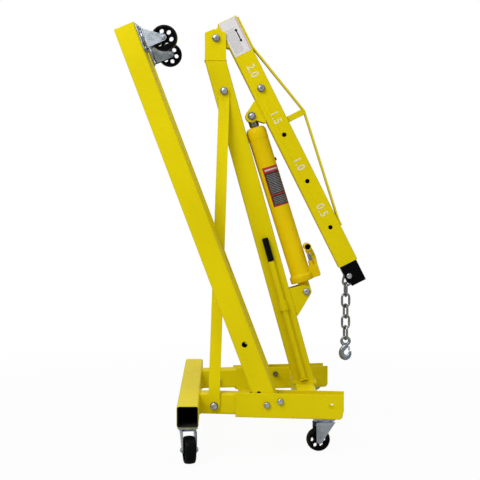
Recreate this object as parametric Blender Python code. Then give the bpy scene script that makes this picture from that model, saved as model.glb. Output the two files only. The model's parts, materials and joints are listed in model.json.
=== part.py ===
"""Folding engine hoist crane, stored: both legs folded up and the boom lowered along the mast.

Metres, +Z up. +X is the front, where the boom and the lowered legs point. The right-hand side is -Y.
The floor is z = 0, and the origin is under the middle of the whole part.
"""
import math

import bmesh
import bpy
from mathutils import Matrix, Vector

# Fits
GAP = 0.0003                # between pieces that touch
BOLT_PLAY = 0.0005          # round a bolt in its hole
SLIDE_PLAY = 0.0008         # round the extension in the boom

# Base: rear cross tube and splayed rails
CROSS_SIZE = 0.067
CROSS_LENGTH = 0.966
CROSS_CORNER = 0.007
CROSS_WALL = 0.004
BIG_CASTER_HEIGHT = 0.114
SPLAY = math.radians(8.5)
RAIL_Y = 0.232              # rail centre line where it leaves the cross tube
STUB_END = 0.165
SOCKET_START = 0.122
SOCKET_END = 0.467
SOCKET_WIDTH = 0.076
SOCKET_HEIGHT = 0.079
SOCKET_WALL = 0.005
SOCKET_NOSE = 0.014         # rounding of the lower front corner
FRONT_CASTER_HEIGHT = 0.107

# Legs
LEG_DEPTH = 0.070           # in the plane in which the leg folds
LEG_WIDTH = 0.060
LEG_CORNER = 0.006
LEG_WALL = 0.0035
LEG_LENGTH = 1.305          # from the pivot to the closed end
LEG_FOLD = math.radians(111.0)
LEG_PIVOT_AT = 0.2245       # along the rail
LEG_LOCK_AT = 0.2058        # lock hole, from the pivot
LEG_LOCK_HOLE = 0.019
LOCK_BOLT_AHEAD = 0.0435    # stored place of the lock bolt, from the pivot
LOCK_BOLT_UP = 0.0125
LEG_CASTER_INSET = 0.055
RAIL_BOLT = 0.012

# Mast, foot and braces
MAST_DEPTH = 0.070
MAST_WIDTH = 0.070
MAST_WALL = 0.004
MAST_CORNER = 0.006
MAST_LEAN = math.radians(15.5)
MAST_FOOT_X = 0.390
MAST_FOOT_Z = 0.181
MAST_TOP_Z = 1.281
FOOT_PLATE = 0.008
CROSSMEMBER_DEPTH = 0.066
CROSSMEMBER_HEIGHT = 0.060
CROSSMEMBER_WALL = 0.004
HEAD_PLATE = 0.006
HEAD_HEIGHT = 0.104
BRACE_WIDTH = 0.037
BRACE_THICK = 0.005
BRACE_TOP_Z = 1.176
BRACE_FOOT_AT = 0.053
BRACE_FOOT_Z = 0.142
FRAME_BOLT = 0.014

# Boom
BOOM_PIVOT_X = 0.0869
BOOM_PIVOT_Z = 1.3555
BOOM_ANGLE = math.radians(63.3)   # below the horizontal, lowered
BOOM_DEPTH = 0.070
BOOM_WIDTH = 0.057
BOOM_WALL = 0.0035
BOOM_CORNER = 0.005
BOOM_REACH = 0.8915         # pivot to the open end
BOOM_TAIL = 0.040           # pivot to the closed end
BOOM_RISE = 0.0612          # boom centre line above the pivot
EAR_THICK = 0.006
EAR_RADIUS = 0.021
HOLE_PITCH = 0.1775
HOLE_SIZE = 0.016
FIRST_HOLE = 0.139          # from the open end
BRACKET_AHEAD = 0.2901      # ram pin, along the boom from the pivot
BRACKET_DROP = 0.0707       # ram pin, below the boom centre line
BRACKET_FLOOR = 0.003
BRACKET_PLATE = 0.006
BRACKET_GAP = 0.044
TRUSS_START_AHEAD = 0.0795  # along the boom from the pivot
TRUSS_APEX = 0.536
TRUSS_END = 0.152
TRUSS_RISE = 0.061
TRUSS_BAR = 0.006
TRUSS_WIDTH = 0.038
EXTENSION_OUT = 0.0766
EXTENSION_WALL = 0.0035
EXTENSION_TAIL = 0.026      # behind the lock bolt
CHAIN_BOLT_OUT = 0.040
CHAIN_BOLT_DROP = 0.017
CHAIN_BOLT = 0.012

# Chain and hook
WIRE = 0.008
LINK_INSIDE = 0.0380
LINK_WIDTH = 0.035
LINK_COUNT = 6
TOP_LINK_LEAN = math.radians(14)
LEAN_PLAY = 0.0007          # between the leaning link and the next
HOOK_EYE = 0.0135

# Ram and pump
RAM_FOOT_X = 0.3973
RAM_FOOT_Z = 0.4903
RAM_RADIUS = 0.0345
RAM_COLLAR = 0.041
RAM_BASE = 0.035            # underside of the collar above the foot pin
RAM_HEAD_GAP = 0.040        # top of the cylinder below the upper pin
ROD_RADIUS = 0.015
ROD_EYE = 0.0135
ROD_EYE_WIDTH = 0.036
RAM_LUG_WIDTH = 0.042
RAM_LUG = 0.018             # radius round the foot pin
FILLER_UP = 0.467           # filler plug above the foot pin
PUMP_BLOCK_FROM = 0.020     # pump block, in front of the ram axis
PUMP_BLOCK_OUT = 0.066
PUMP_BLOCK_TALL = 0.043
PUMP_BLOCK_WIDTH = 0.033
PUMP_TUBE_TOP = 0.095       # above the foot pin
PUMP_TUBE = 0.0095          # radius
EAR_PLATE = 0.004
EAR_OUT = 0.0155
ROD_FOOT = 0.086            # lower end of the rod, above the foot pin
ROD_NECK = 0.0170
PUMP_AT = 0.047             # plunger axis from the ram axis
FULCRUM_AT = 0.061
FULCRUM_UP = 0.104
SOCKET_AT = 0.049
SOCKET_UP = 0.146
FOOT_PLATE_GAP = 0.047
FOOT_BRACKET_PLATE = 0.006

# Stored pump handle
HANDLE_RADIUS = 0.0095
HANDLE_LENGTH = 0.418
GRIP_RADIUS = 0.011
GRIP_LENGTH = 0.082
CLIP_AT = 0.272             # along the mast from its foot
CLIP_SIZE = 0.034
HANDLE_START = 0.012

# Casters
BIG_WHEEL = 0.086
BIG_TRAIL = 0.027
SMALL_WHEEL = 0.075
SMALL_TRAIL = 0.022
BIG_PLATE = (0.093, 0.062)
SMALL_PLATE = (0.072, 0.060)
CASTER_PLATE = 0.004
RACE_RADIUS = 0.026
RACE_DEPTH = 0.008
FORK_SHEET = 0.003
WHEEL_WIDTH = 0.033
HUB_WIDTH = 0.0365
WHEEL_WEB = 0.009           # thickness between the holes
AXLE = 0.008
REAR_CASTER_INSET = 0.048
SOCKET_CASTER_AT = 0.407
REAR_CASTER_YAW = math.radians(10)
SOCKET_CASTER_YAW = math.radians(12)

# Finishes: colour, roughness, metallic
YELLOW = ((0.80, 0.66, 0.012, 1), 0.42, 0.0)
RAM_YELLOW = ((0.72, 0.53, 0.008, 1), 0.4, 0.0)
ZINC = ((0.55, 0.55, 0.53, 1), 0.35, 0.9)
BLACK = ((0.012, 0.012, 0.013, 1), 0.5, 0.0)
RUBBER = ((0.015, 0.015, 0.015, 1), 0.7, 0.0)

X = Vector((1, 0, 0))
Y = Vector((0, 1, 0))
Z = Vector((0, 0, 1))
RIGHT, LEFT = -1, 1
SIDES = ((RIGHT, "right"), (LEFT, "left"))

for old in list(bpy.data.objects):
    bpy.data.objects.remove(old, do_unlink=True)

STAND = bpy.data.objects.new("stand", None)
bpy.context.scene.collection.objects.link(STAND)


# Outlines
def rounded_rect(wide, high, corner, steps=2):
    """Outline of a rectangle with round corners about its middle."""
    points = []
    for sx, sy, start in ((1, 1, 0), (-1, 1, 90), (-1, -1, 180), (1, -1, 270)):
        cx = sx * (wide / 2 - corner)
        cy = sy * (high / 2 - corner)
        for i in range(steps + 1):
            t = math.radians(start + 90 * i / steps)
            points.append((cx + corner * math.cos(t), cy + corner * math.sin(t)))
    return points


def arc(cx, cy, radius, start, end, steps):
    """Points on an arc, in degrees."""
    points = []
    for i in range(steps + 1):
        t = math.radians(start + (end - start) * i / steps)
        points.append((cx + radius * math.cos(t), cy + radius * math.sin(t)))
    return points


def polygon(sides, radius, turn=0.0):
    """Regular outline by its corner radius."""
    return [(radius * math.cos(turn + 2 * math.pi * i / sides),
             radius * math.sin(turn + 2 * math.pi * i / sides)) for i in range(sides)]


# Solids
def solid(verts, faces):
    """Closed mesh object with its faces pointing out."""
    mesh = bpy.data.meshes.new("solid")
    mesh.from_pydata([tuple(v) for v in verts], [], faces)
    bm = bmesh.new()
    bm.from_mesh(mesh)
    bmesh.ops.recalc_face_normals(bm, faces=bm.faces)
    bm.to_mesh(mesh)
    bm.free()
    obj = bpy.data.objects.new("solid", mesh)
    bpy.context.scene.collection.objects.link(obj)
    return obj


def extrude(outline, plane, start, end, hole=None):
    """Outline in the plane (origin, u, v, w), pulled along w; a hole has as many points."""
    origin, u, v, w = plane
    count = len(outline)

    def ring(loop, h):
        return [origin + u * a + v * b + w * h for a, b in loop]

    verts = ring(outline, start) + ring(outline, end)
    faces = []
    for i in range(count):
        j = (i + 1) % count
        faces.append((i, j, count + j, count + i))
    if hole is None:
        faces.append(tuple(reversed(range(count))))
        faces.append(tuple(range(count, 2 * count)))
    else:
        verts += ring(hole, start) + ring(hole, end)
        k = 2 * count
        for i in range(count):
            j = (i + 1) % count
            faces.append((k + i, k + count + i, k + count + j, k + j))
            faces.append((i, k + i, k + j, j))
            faces.append((count + i, count + j, k + count + j, k + count + i))
    return solid(verts, faces)


def across(axis):
    """Two directions square to an axis."""
    axis = axis.normalized()
    other = Z if abs(axis.z) < 0.9 else X
    u = axis.cross(other).normalized()
    return u, axis.cross(u), axis


def rod(start, end, radius, sides=12, turn=0.0):
    """Round or polygonal bar between two points."""
    u, v, w = across(end - start)
    return extrude(polygon(sides, radius, turn), (start, u, v, w), 0, (end - start).length)


def hexagon(start, end, flats):
    """Hexagonal bar by its size across flats."""
    return rod(start, end, flats / math.sqrt(3), 6)


def spindle(rings, origin, axis, sides=24):
    """Turned solid from (radius, height) steps along an axis."""
    u, v, w = across(axis)
    verts = []
    faces = []
    for radius, height in rings:
        for a, b in polygon(sides, radius):
            verts.append(origin + u * a + v * b + w * height)
    for k in range(len(rings) - 1):
        for i in range(sides):
            j = (i + 1) % sides
            faces.append((k * sides + i, k * sides + j, (k + 1) * sides + j, (k + 1) * sides + i))
    faces.append(tuple(range(sides)))
    faces.append(tuple(range((len(rings) - 1) * sides, len(rings) * sides)))
    return solid(verts, faces)


def turned_ring(profile, origin, axis, sides, start):
    """Turned solid with a bore, from a closed (radius, height) profile."""
    w = axis.normalized()
    u = (start - w * start.dot(w)).normalized()
    v = w.cross(u)
    count = len(profile)
    verts = []
    faces = []
    for i in range(sides):
        t = 2 * math.pi * i / sides
        out = u * math.cos(t) + v * math.sin(t)
        for radius, height in profile:
            verts.append(origin + out * radius + w * height)
    for i in range(sides):
        j = (i + 1) % sides
        for k in range(count):
            m = (k + 1) % count
            faces.append((i * count + k, j * count + k, j * count + m, i * count + m))
    return solid(verts, faces)


def sweep(path, radii, sides, closed, normal):
    """Round bar along a flat path, with one radius for each point."""
    count = len(path)
    verts = []
    faces = []
    for i, point in enumerate(path):
        before = path[i - 1] if closed or i else point
        after = path[(i + 1) % count] if closed or i < count - 1 else point
        along = (after - before).normalized()
        side = normal.cross(along).normalized()
        for a, b in polygon(sides, radii[i]):
            verts.append(point + side * a + normal * b)
    for i in range(count if closed else count - 1):
        j = (i + 1) % count
        for k in range(sides):
            m = (k + 1) % sides
            faces.append((i * sides + k, i * sides + m, j * sides + m, j * sides + k))
    if not closed:
        faces.append(tuple(range(sides)))
        faces.append(tuple(range((count - 1) * sides, count * sides)))
    return solid(verts, faces)


def loft(sections):
    """Solid through sections of four corners."""
    verts = [p for section in sections for p in section]
    faces = [(3, 2, 1, 0)]
    last = 4 * (len(sections) - 1)
    faces.append((last, last + 1, last + 2, last + 3))
    for k in range(len(sections) - 1):
        for i in range(4):
            j = (i + 1) % 4
            faces.append((4 * k + i, 4 * k + j, 4 * k + 4 + j, 4 * k + 4 + i))
    return solid(verts, faces)


def combine(base, tool, operation):
    """Boolean of two solids, applied to the first."""
    modifier = base.modifiers.new("combine", "BOOLEAN")
    modifier.operation = operation
    modifier.solver = "EXACT"
    modifier.object = tool
    graph = bpy.context.evaluated_depsgraph_get()
    mesh = bpy.data.meshes.new_from_object(base.evaluated_get(graph))
    base.modifiers.clear()
    base.data = mesh
    bpy.data.objects.remove(tool, do_unlink=True)
    bm = bmesh.new()
    bm.from_mesh(mesh)
    bmesh.ops.remove_doubles(bm, verts=bm.verts, dist=0.000002)
    bmesh.ops.dissolve_degenerate(bm, edges=bm.edges, dist=0.000001)
    bm.to_mesh(mesh)
    bm.free()
    return base


def cut(base, *tools):
    for tool in tools:
        combine(base, tool, "DIFFERENCE")
    return base


def fuse(base, *tools):
    for tool in tools:
        combine(base, tool, "UNION")
    return base


def finish(obj, name, look, origin):
    """Named sub-part with its material and its origin."""
    mesh = obj.data
    mesh.transform(Matrix.Translation(-origin))
    obj.location = origin
    obj.name = name
    mesh.name = name
    colour, rough, metal = look
    paint = bpy.data.materials.new(name + "_finish")
    paint.use_nodes = True
    shader = paint.node_tree.nodes["Principled BSDF"]
    shader.inputs["Base Color"].default_value = colour
    shader.inputs["Roughness"].default_value = rough
    shader.inputs["Metallic"].default_value = metal
    mesh.materials.clear()
    mesh.materials.append(paint)
    mesh.shade_smooth()
    mesh.set_sharp_from_angle(angle=math.radians(32))
    obj.parent = STAND
    return obj


def bolt(name, seat, nut_seat, size, origin=None, washer=0.0, end=0.004):
    """Hexagon bolt and nut: head on one seat, nut on the other."""
    axis = (nut_seat - seat).normalized()
    head_height = 0.6 * size
    nut_height = 0.75 * size
    flats = 1.55 * size
    top = seat - axis * (GAP + washer)
    low = nut_seat + axis * GAP
    body = rod(top - axis * 0.5 * head_height, low + axis * (nut_height + end), size / 2, 8)
    fuse(body, hexagon(top - axis * head_height, top, flats))
    fuse(body, hexagon(low, low + axis * nut_height, flats))
    if washer:
        fuse(body, rod(top - axis * 0.0004, seat - axis * GAP, 0.62 * flats, 12))
    return finish(body, name, ZINC, origin if origin else seat)


# Rails
BASE_Z = BIG_CASTER_HEIGHT
RAIL_X = CROSS_SIZE / 2
SOCKET_Z = FRONT_CASTER_HEIGHT
LEG_PIVOT_Z = BASE_Z + LEG_DEPTH / 2
SOCKET_INSIDE = SOCKET_WIDTH - 2 * SOCKET_WALL
STUB_WIDTH = SOCKET_INSIDE - 2 * GAP


def rail_axes(side):
    """Directions along a rail and out from its outer face."""
    ahead = Vector((math.cos(SPLAY), side * math.sin(SPLAY), 0))
    out = Vector((-math.sin(SPLAY), side * math.cos(SPLAY), 0))
    return ahead, out


def rail_point(side, at, off, z):
    ahead, out = rail_axes(side)
    return Vector((RAIL_X, side * RAIL_Y, z)) + ahead * at + out * off


def rail_hole(side, at, z, size, reach=0.2):
    """Cutter straight through a rail."""
    return rod(rail_point(side, at, -reach / 2, z), rail_point(side, at, reach / 2, z), size / 2, 12)


def make_base():
    section = rounded_rect(CROSS_SIZE, CROSS_SIZE, CROSS_CORNER, 2)
    inside = CROSS_SIZE - 2 * CROSS_WALL
    bore = rounded_rect(inside, inside, CROSS_CORNER - CROSS_WALL, 2)
    plane = (Z * (BASE_Z + CROSS_SIZE / 2), X, Z, Y)
    tube = extrude(section, plane, -CROSS_LENGTH / 2, CROSS_LENGTH / 2, bore)
    finish(tube, "rear_cross_tube", YELLOW, Z * (BASE_Z + CROSS_SIZE / 2))
    for side, word in SIDES:
        make_rail(side, word)


def make_rail(side, word):
    ahead, out = rail_axes(side)
    middle = BASE_Z + CROSS_SIZE / 2
    plane = (rail_point(side, 0, 0, middle), out, Z, ahead)
    section = rounded_rect(STUB_WIDTH, CROSS_SIZE, CROSS_CORNER, 2)
    bore = rounded_rect(STUB_WIDTH - 2 * CROSS_WALL, CROSS_SIZE - 2 * CROSS_WALL,
                        CROSS_CORNER - CROSS_WALL, 2)
    stub = extrude(section, plane, -0.02, STUB_END, bore)
    behind = (Vector((RAIL_X + GAP, side * RAIL_Y, middle)), Y, Z, -X)
    cut(stub, extrude(rounded_rect(0.2, 0.2, 0.01, 1), behind, 0, 0.1))
    cut(stub, rail_hole(side, BRACE_FOOT_AT, BRACE_FOOT_Z, FRAME_BOLT + 2 * BOLT_PLAY))
    finish(stub, "base_stub_" + word, YELLOW, rail_point(side, 0, 0, middle))

    half = SOCKET_WIDTH / 2
    low = SOCKET_Z
    high = SOCKET_Z + SOCKET_HEIGHT
    inner = half - SOCKET_WALL
    bend = 0.004
    channel = [(half, high), (inner, high), (inner, low + SOCKET_WALL), (-inner, low + SOCKET_WALL),
               (-inner, high), (-half, high)]
    channel += arc(-half + bend, low + bend, bend, 180, 270, 2)
    channel += arc(half - bend, low + bend, bend, 270, 360, 2)
    plane = (rail_point(side, 0, 0, 0), out, Z, ahead)
    trough = extrude(channel, plane, SOCKET_START, SOCKET_END)
    nose = SOCKET_NOSE
    corner = [(SOCKET_END + 0.01, low - 0.01), (SOCKET_END + 0.01, low + nose)]
    corner += arc(SOCKET_END - nose, low + nose, nose, 0, -90, 4)
    corner += [(SOCKET_END - nose, low - 0.01)]
    flank = (rail_point(side, 0, 0, 0), ahead, Z, out)
    cut(trough, extrude(corner, flank, -0.1, 0.1))
    cut(trough, rail_hole(side, LEG_PIVOT_AT, LEG_PIVOT_Z, RAIL_BOLT + 2 * BOLT_PLAY))
    cut(trough, rail_hole(side, LEG_PIVOT_AT + LEG_LOCK_AT, LEG_PIVOT_Z, LEG_LOCK_HOLE))
    cut(trough, rail_hole(side, LEG_PIVOT_AT + LOCK_BOLT_AHEAD, LEG_PIVOT_Z + LOCK_BOLT_UP,
                          RAIL_BOLT + 2 * BOLT_PLAY))
    finish(trough, "leg_socket_" + word, YELLOW, rail_point(side, SOCKET_START, 0, SOCKET_Z))

    bolt("leg_pivot_bolt_" + word, rail_point(side, LEG_PIVOT_AT, half, LEG_PIVOT_Z),
         rail_point(side, LEG_PIVOT_AT, -half, LEG_PIVOT_Z), RAIL_BOLT)
    stop_at = LEG_PIVOT_AT + LOCK_BOLT_AHEAD
    stop_z = LEG_PIVOT_Z + LOCK_BOLT_UP
    bolt("leg_lock_bolt_" + word, rail_point(side, stop_at, half, stop_z),
         rail_point(side, stop_at, -half, stop_z), RAIL_BOLT, end=0.012)


# Legs
def leg_frame(side):
    """Pivot, direction along the folded leg, front direction and outward direction."""
    ahead, out = rail_axes(side)
    pivot = rail_point(side, LEG_PIVOT_AT, 0, LEG_PIVOT_Z)
    along = ahead * math.cos(LEG_FOLD) + Z * math.sin(LEG_FOLD)
    front = ahead * math.sin(LEG_FOLD) - Z * math.cos(LEG_FOLD)
    return pivot, along, front, out


def make_leg(side, word):
    pivot, along, front, out = leg_frame(side)
    section = rounded_rect(LEG_DEPTH, LEG_WIDTH, LEG_CORNER, 2)
    bore = rounded_rect(LEG_DEPTH - 2 * LEG_WALL, LEG_WIDTH - 2 * LEG_WALL, LEG_CORNER - LEG_WALL, 2)
    plane = (pivot, front, out, along)
    foot = LEG_DEPTH / 2
    tube = extrude(section, plane, -foot - 0.01, LEG_LENGTH)
    cut(tube, extrude(bore, plane, -foot - 0.02, LEG_LENGTH - LEG_WALL))
    flank = (pivot, along, front, out)
    wide = LEG_DEPTH
    toe = [(0, -wide), (-wide, -wide), (-wide, wide), (0, wide)]
    toe += arc(0, 0, foot, 90, 270, 8)
    cut(tube, extrude(toe, flank, -0.05, 0.05))
    reach = math.hypot(LOCK_BOLT_AHEAD, LOCK_BOLT_UP)
    bearing = math.degrees(math.atan2(LOCK_BOLT_UP, LOCK_BOLT_AHEAD))
    room = RAIL_BOLT / 2 + 0.0015
    first = -bearing - 8
    last = -bearing + math.degrees(LEG_FOLD) + 8
    slot = arc(0, 0, reach + room, first, last, 8) + arc(0, 0, reach - room, last, first, 8)
    cut(tube, extrude(slot, flank, -0.05, 0.05))
    for at, size in ((0, RAIL_BOLT + 2 * BOLT_PLAY), (LEG_LOCK_AT, LEG_LOCK_HOLE)):
        spot = pivot + along * at
        cut(tube, rod(spot - out * 0.05, spot + out * 0.05, size / 2, 12))
    finish(tube, "leg_" + word, YELLOW, pivot)
    seat = pivot + along * (LEG_LENGTH - LEG_CASTER_INSET) + front * (LEG_DEPTH / 2)
    caster("leg_caster", word, seat, front, -along, along, BIG_CASTER_HEIGHT, BIG_WHEEL, BIG_TRAIL,
           BIG_PLATE)


# Casters
def caster(kind, word, seat, down, trail_way, plate_way, height, wheel, trail, plate):
    """Swivel caster: plate under a seat, fork on its race and wheel on its axle."""
    plate_side = down.cross(plate_way).normalized()
    length, width = plate
    plane = (seat, plate_way, plate_side, down)
    base = extrude(rounded_rect(length, width, 0.006, 1), plane, GAP, GAP + CASTER_PLATE)
    race_end = CASTER_PLATE + RACE_DEPTH
    fuse(base, spindle([(RACE_RADIUS, CASTER_PLATE - 0.001), (RACE_RADIUS, race_end - 0.002),
                        (RACE_RADIUS - 0.002, race_end)], seat, down, 14))
    for a in (-1, 1):
        for b in (-1, 1):
            spot = seat + plate_way * (a * (length / 2 - 0.009)) + plate_side * (b * (width / 2 - 0.009))
            fuse(base, hexagon(spot + down * (CASTER_PLATE - 0.001), spot + down * (CASTER_PLATE + 0.005),
                               0.010))
    finish(base, kind + "_plate_" + word, ZINC, seat)

    side = down.cross(trail_way).normalized()
    hub = height - wheel / 2
    crown = race_end + GAP
    cheek = HUB_WIDTH / 2 + 0.001
    outer = cheek + FORK_SHEET
    plane = (seat, trail_way, side, down)
    fork = extrude(rounded_rect(0.046, 2 * outer, 0.006, 1), plane, crown, crown + 0.0035)
    flank = [(-0.021, crown + 0.001), (0.021, crown + 0.001)]
    flank += arc(trail, hub, 0.011, 0, 180, 4)
    plane = (seat, trail_way, down, side)
    fuse(fork, extrude(flank, plane, cheek, outer))
    fuse(fork, extrude(flank, plane, -outer, -cheek))
    axle = seat + trail_way * trail + down * hub
    fuse(fork, rod(axle - side * (outer + 0.006), axle + side * (outer + 0.006), AXLE / 2, 8))
    for way in (-1, 1):
        fuse(fork, hexagon(axle + side * (way * (outer - 0.001)), axle + side * (way * (outer + 0.0045)),
                           0.013))
    finish(fork, kind + "_fork_" + word, ZINC, seat)

    radius = wheel / 2
    half = WHEEL_WIDTH / 2
    bore = AXLE / 2 + 0.0005
    web = WHEEL_WEB / 2
    rim = radius - 0.010
    profile = [(bore, -HUB_WIDTH / 2), (0.011, -HUB_WIDTH / 2), (0.012, -web), (rim, -web),
               (rim + 0.0015, -half), (radius - 0.0025, -half), (radius, 0), (radius - 0.0025, half),
               (rim + 0.0015, half), (rim, web), (0.012, web), (0.011, HUB_WIDTH / 2),
               (bore, HUB_WIDTH / 2)]
    tyre = turned_ring(profile, axle, side, 18, down)
    ring = 0.55 * radius
    u = down
    v = side.cross(down)
    for i in range(6):
        t = math.pi / 6 + i * math.pi / 3
        spot = axle + u * (ring * math.cos(t)) + v * (ring * math.sin(t))
        cut(tyre, rod(spot - side * 0.03, spot + side * 0.03, 0.175 * radius, 8))
    finish(tyre, kind + "_wheel_" + word, RUBBER, axle)


def make_base_casters():
    for side, word in SIDES:
        seat = Vector((0, side * (CROSS_LENGTH / 2 - REAR_CASTER_INSET), BASE_Z))
        way = Vector((math.sin(REAR_CASTER_YAW), side * math.cos(REAR_CASTER_YAW), 0))
        caster("rear_caster", word, seat, -Z, way, Y, BIG_CASTER_HEIGHT, BIG_WHEEL, BIG_TRAIL, BIG_PLATE)
        seat = rail_point(side, SOCKET_CASTER_AT, 0, SOCKET_Z)
        way = Vector((-math.cos(SOCKET_CASTER_YAW), side * math.sin(SOCKET_CASTER_YAW), 0))
        ahead, out = rail_axes(side)
        caster("socket_caster", word, seat, -Z, way, ahead, FRONT_CASTER_HEIGHT, SMALL_WHEEL,
               SMALL_TRAIL, SMALL_PLATE)


# Mast
MAST_UP = Vector((-math.sin(MAST_LEAN), 0, math.cos(MAST_LEAN)))
MAST_FRONT = Vector((math.cos(MAST_LEAN), 0, math.sin(MAST_LEAN)))
MAST_FOOT = Vector((MAST_FOOT_X, 0, MAST_FOOT_Z))


def mast_point(z, front=0.0, y=0.0):
    """Point on the mast at a height, off its centre line square to it."""
    at = (z - MAST_FOOT_Z - front * MAST_FRONT.z) / MAST_UP.z
    return MAST_FOOT + MAST_UP * at + MAST_FRONT * front + Y * y


def slab(z_from, z_to, reach=0.4):
    """Wide block between two heights."""
    plane = (Vector((MAST_FOOT_X / 2, 0, 0)), X, Y, Z)
    return extrude(rounded_rect(2 * reach, 2 * reach, 0.01, 1), plane, z_from, z_to)


HANDLE_SIDE = -(MAST_WIDTH / 2 + GRIP_RADIUS + 0.0015)
HANDLE_FOOT = MAST_FOOT + MAST_UP * HANDLE_START + Y * HANDLE_SIDE


def make_mast():
    section = rounded_rect(MAST_DEPTH, MAST_WIDTH, MAST_CORNER, 2)
    bore = rounded_rect(MAST_DEPTH - 2 * MAST_WALL, MAST_WIDTH - 2 * MAST_WALL, MAST_CORNER - MAST_WALL, 2)
    plane = (MAST_FOOT, MAST_FRONT, Y, MAST_UP)
    top = (MAST_TOP_Z - MAST_FOOT_Z) / MAST_UP.z
    tube = extrude(section, plane, -0.05, top + 0.05, bore)
    cut(tube, slab(MAST_FOOT_Z - 0.2, MAST_FOOT_Z + GAP))
    cut(tube, slab(MAST_TOP_Z, MAST_TOP_Z + 0.2))
    spot = mast_point(BRACE_TOP_Z)
    cut(tube, rod(spot - Y * 0.06, spot + Y * 0.06, FRAME_BOLT / 2 + BOLT_PLAY, 12))

    # Handle clip: a strap round the stored handle, and a rest under its end
    clip_deep = -HANDLE_SIDE - MAST_WIDTH / 2 + HANDLE_RADIUS + 0.004
    face = -MAST_WIDTH / 2
    plane = (MAST_FOOT, MAST_FRONT, -Y, MAST_UP)
    strap = [(-CLIP_SIZE / 2, -face - 0.002), (CLIP_SIZE / 2, -face - 0.002)]
    strap += [(CLIP_SIZE / 2, -face + 0.003)]
    strap += arc(0, -HANDLE_SIDE, HANDLE_RADIUS + 0.004, 0, 180, 8)
    strap += [(-CLIP_SIZE / 2, -face + 0.003)]
    clip = extrude(strap, plane, CLIP_AT - CLIP_SIZE / 2, CLIP_AT + CLIP_SIZE / 2)
    channel = arc(0, -HANDLE_SIDE, HANDLE_RADIUS + 0.0008, 0, 180, 8)
    channel += [(-HANDLE_RADIUS - 0.0008, -face + 0.0005), (HANDLE_RADIUS + 0.0008, -face + 0.0005)]
    cut(clip, extrude(channel, plane, CLIP_AT - CLIP_SIZE, CLIP_AT + CLIP_SIZE))
    fuse(tube, clip)
    rest = rounded_rect(0.026, 2 * clip_deep, 0.003, 1)
    rest_plane = (MAST_FOOT + Y * face, MAST_FRONT, Y, MAST_UP)
    ledge = extrude(rest, rest_plane, HANDLE_START - 0.005, HANDLE_START - GAP)
    inside = rounded_rect(MAST_DEPTH - MAST_WALL, MAST_WIDTH - MAST_WALL, 0.003, 1)
    cut(ledge, extrude(inside, (MAST_FOOT, MAST_FRONT, Y, MAST_UP), -0.02, 0.05))
    fuse(tube, ledge)
    finish(tube, "mast", YELLOW, MAST_FOOT)

    handle = rod(HANDLE_FOOT, HANDLE_FOOT + MAST_UP * HANDLE_LENGTH, HANDLE_RADIUS, 16)
    finish(handle, "pump_handle", YELLOW, HANDLE_FOOT)
    grip_from = HANDLE_LENGTH + GAP
    grip = spindle([(GRIP_RADIUS - 0.001, grip_from), (GRIP_RADIUS, grip_from + 0.002),
                    (GRIP_RADIUS, grip_from + GRIP_LENGTH - 0.003),
                    (GRIP_RADIUS - 0.003, grip_from + GRIP_LENGTH)], HANDLE_FOOT, MAST_UP, 16)
    finish(grip, "handle_grip", RUBBER, HANDLE_FOOT)


def make_crossmember():
    middle = MAST_FOOT_Z - FOOT_PLATE - CROSSMEMBER_HEIGHT / 2
    section = rounded_rect(CROSSMEMBER_DEPTH, CROSSMEMBER_HEIGHT, 0.006, 2)
    bore = rounded_rect(CROSSMEMBER_DEPTH - 2 * CROSSMEMBER_WALL, CROSSMEMBER_HEIGHT - 2 * CROSSMEMBER_WALL,
                        0.003, 2)
    plane = (Vector((MAST_FOOT_X, 0, middle)), X, Z, Y)
    box = extrude(section, plane, -0.32, 0.32, bore)
    for side, word in SIDES:
        ahead, out = rail_axes(side)
        wall = rail_point(side, SOCKET_START, -SOCKET_WIDTH / 2 - GAP, middle)
        outside = [(-0.1, -0.1), (0.6, -0.1), (0.6, 0.1), (-0.1, 0.1)]
        cut(box, extrude(outside, (wall, ahead, Z, out), 0, 0.3))
    plate = rounded_rect(MAST_DEPTH + 0.016, MAST_WIDTH + 0.030, 0.006, 2)
    foot = (Vector((MAST_FOOT_X, 0, MAST_FOOT_Z)), X, Y, Z)
    fuse(box, extrude(plate, foot, -FOOT_PLATE - 0.001, 0))
    finish(box, "mast_crossmember", YELLOW, Vector((MAST_FOOT_X, 0, middle)))


def make_head():
    """Fork on top of the mast: floor plate and two upright cheeks round the boom ears."""
    low = MAST_TOP_Z + GAP
    middle = mast_point(MAST_TOP_Z).x
    half = MAST_DEPTH / 2 / math.cos(MAST_LEAN)
    high = HEAD_HEIGHT
    left, right = -half, half
    outline = [(left, 0), (right, 0), (right, high - 0.014), (right - 0.022, high), (left + 0.028, high),
               (left, high - 0.012)]
    plane = (Vector((middle, 0, low)), X, Z, Y)
    inner = MAST_WIDTH / 2 - HEAD_PLATE
    head = extrude(outline, plane, -MAST_WIDTH / 2, MAST_WIDTH / 2)
    space = [(left - 0.02, HEAD_PLATE), (right + 0.02, HEAD_PLATE), (right + 0.02, high + 0.02),
             (left - 0.02, high + 0.02)]
    cut(head, extrude(space, plane, -inner, inner))
    cut(head, rod(PIVOT - Y * 0.06, PIVOT + Y * 0.06, FRAME_BOLT / 2 + BOLT_PLAY, 12))
    finish(head, "mast_head", YELLOW, Vector((middle, 0, low)))
    bolt("boom_pivot_bolt", PIVOT - Y * (MAST_WIDTH / 2), PIVOT + Y * (MAST_WIDTH / 2), FRAME_BOLT,
         PIVOT, 0.002)


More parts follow.
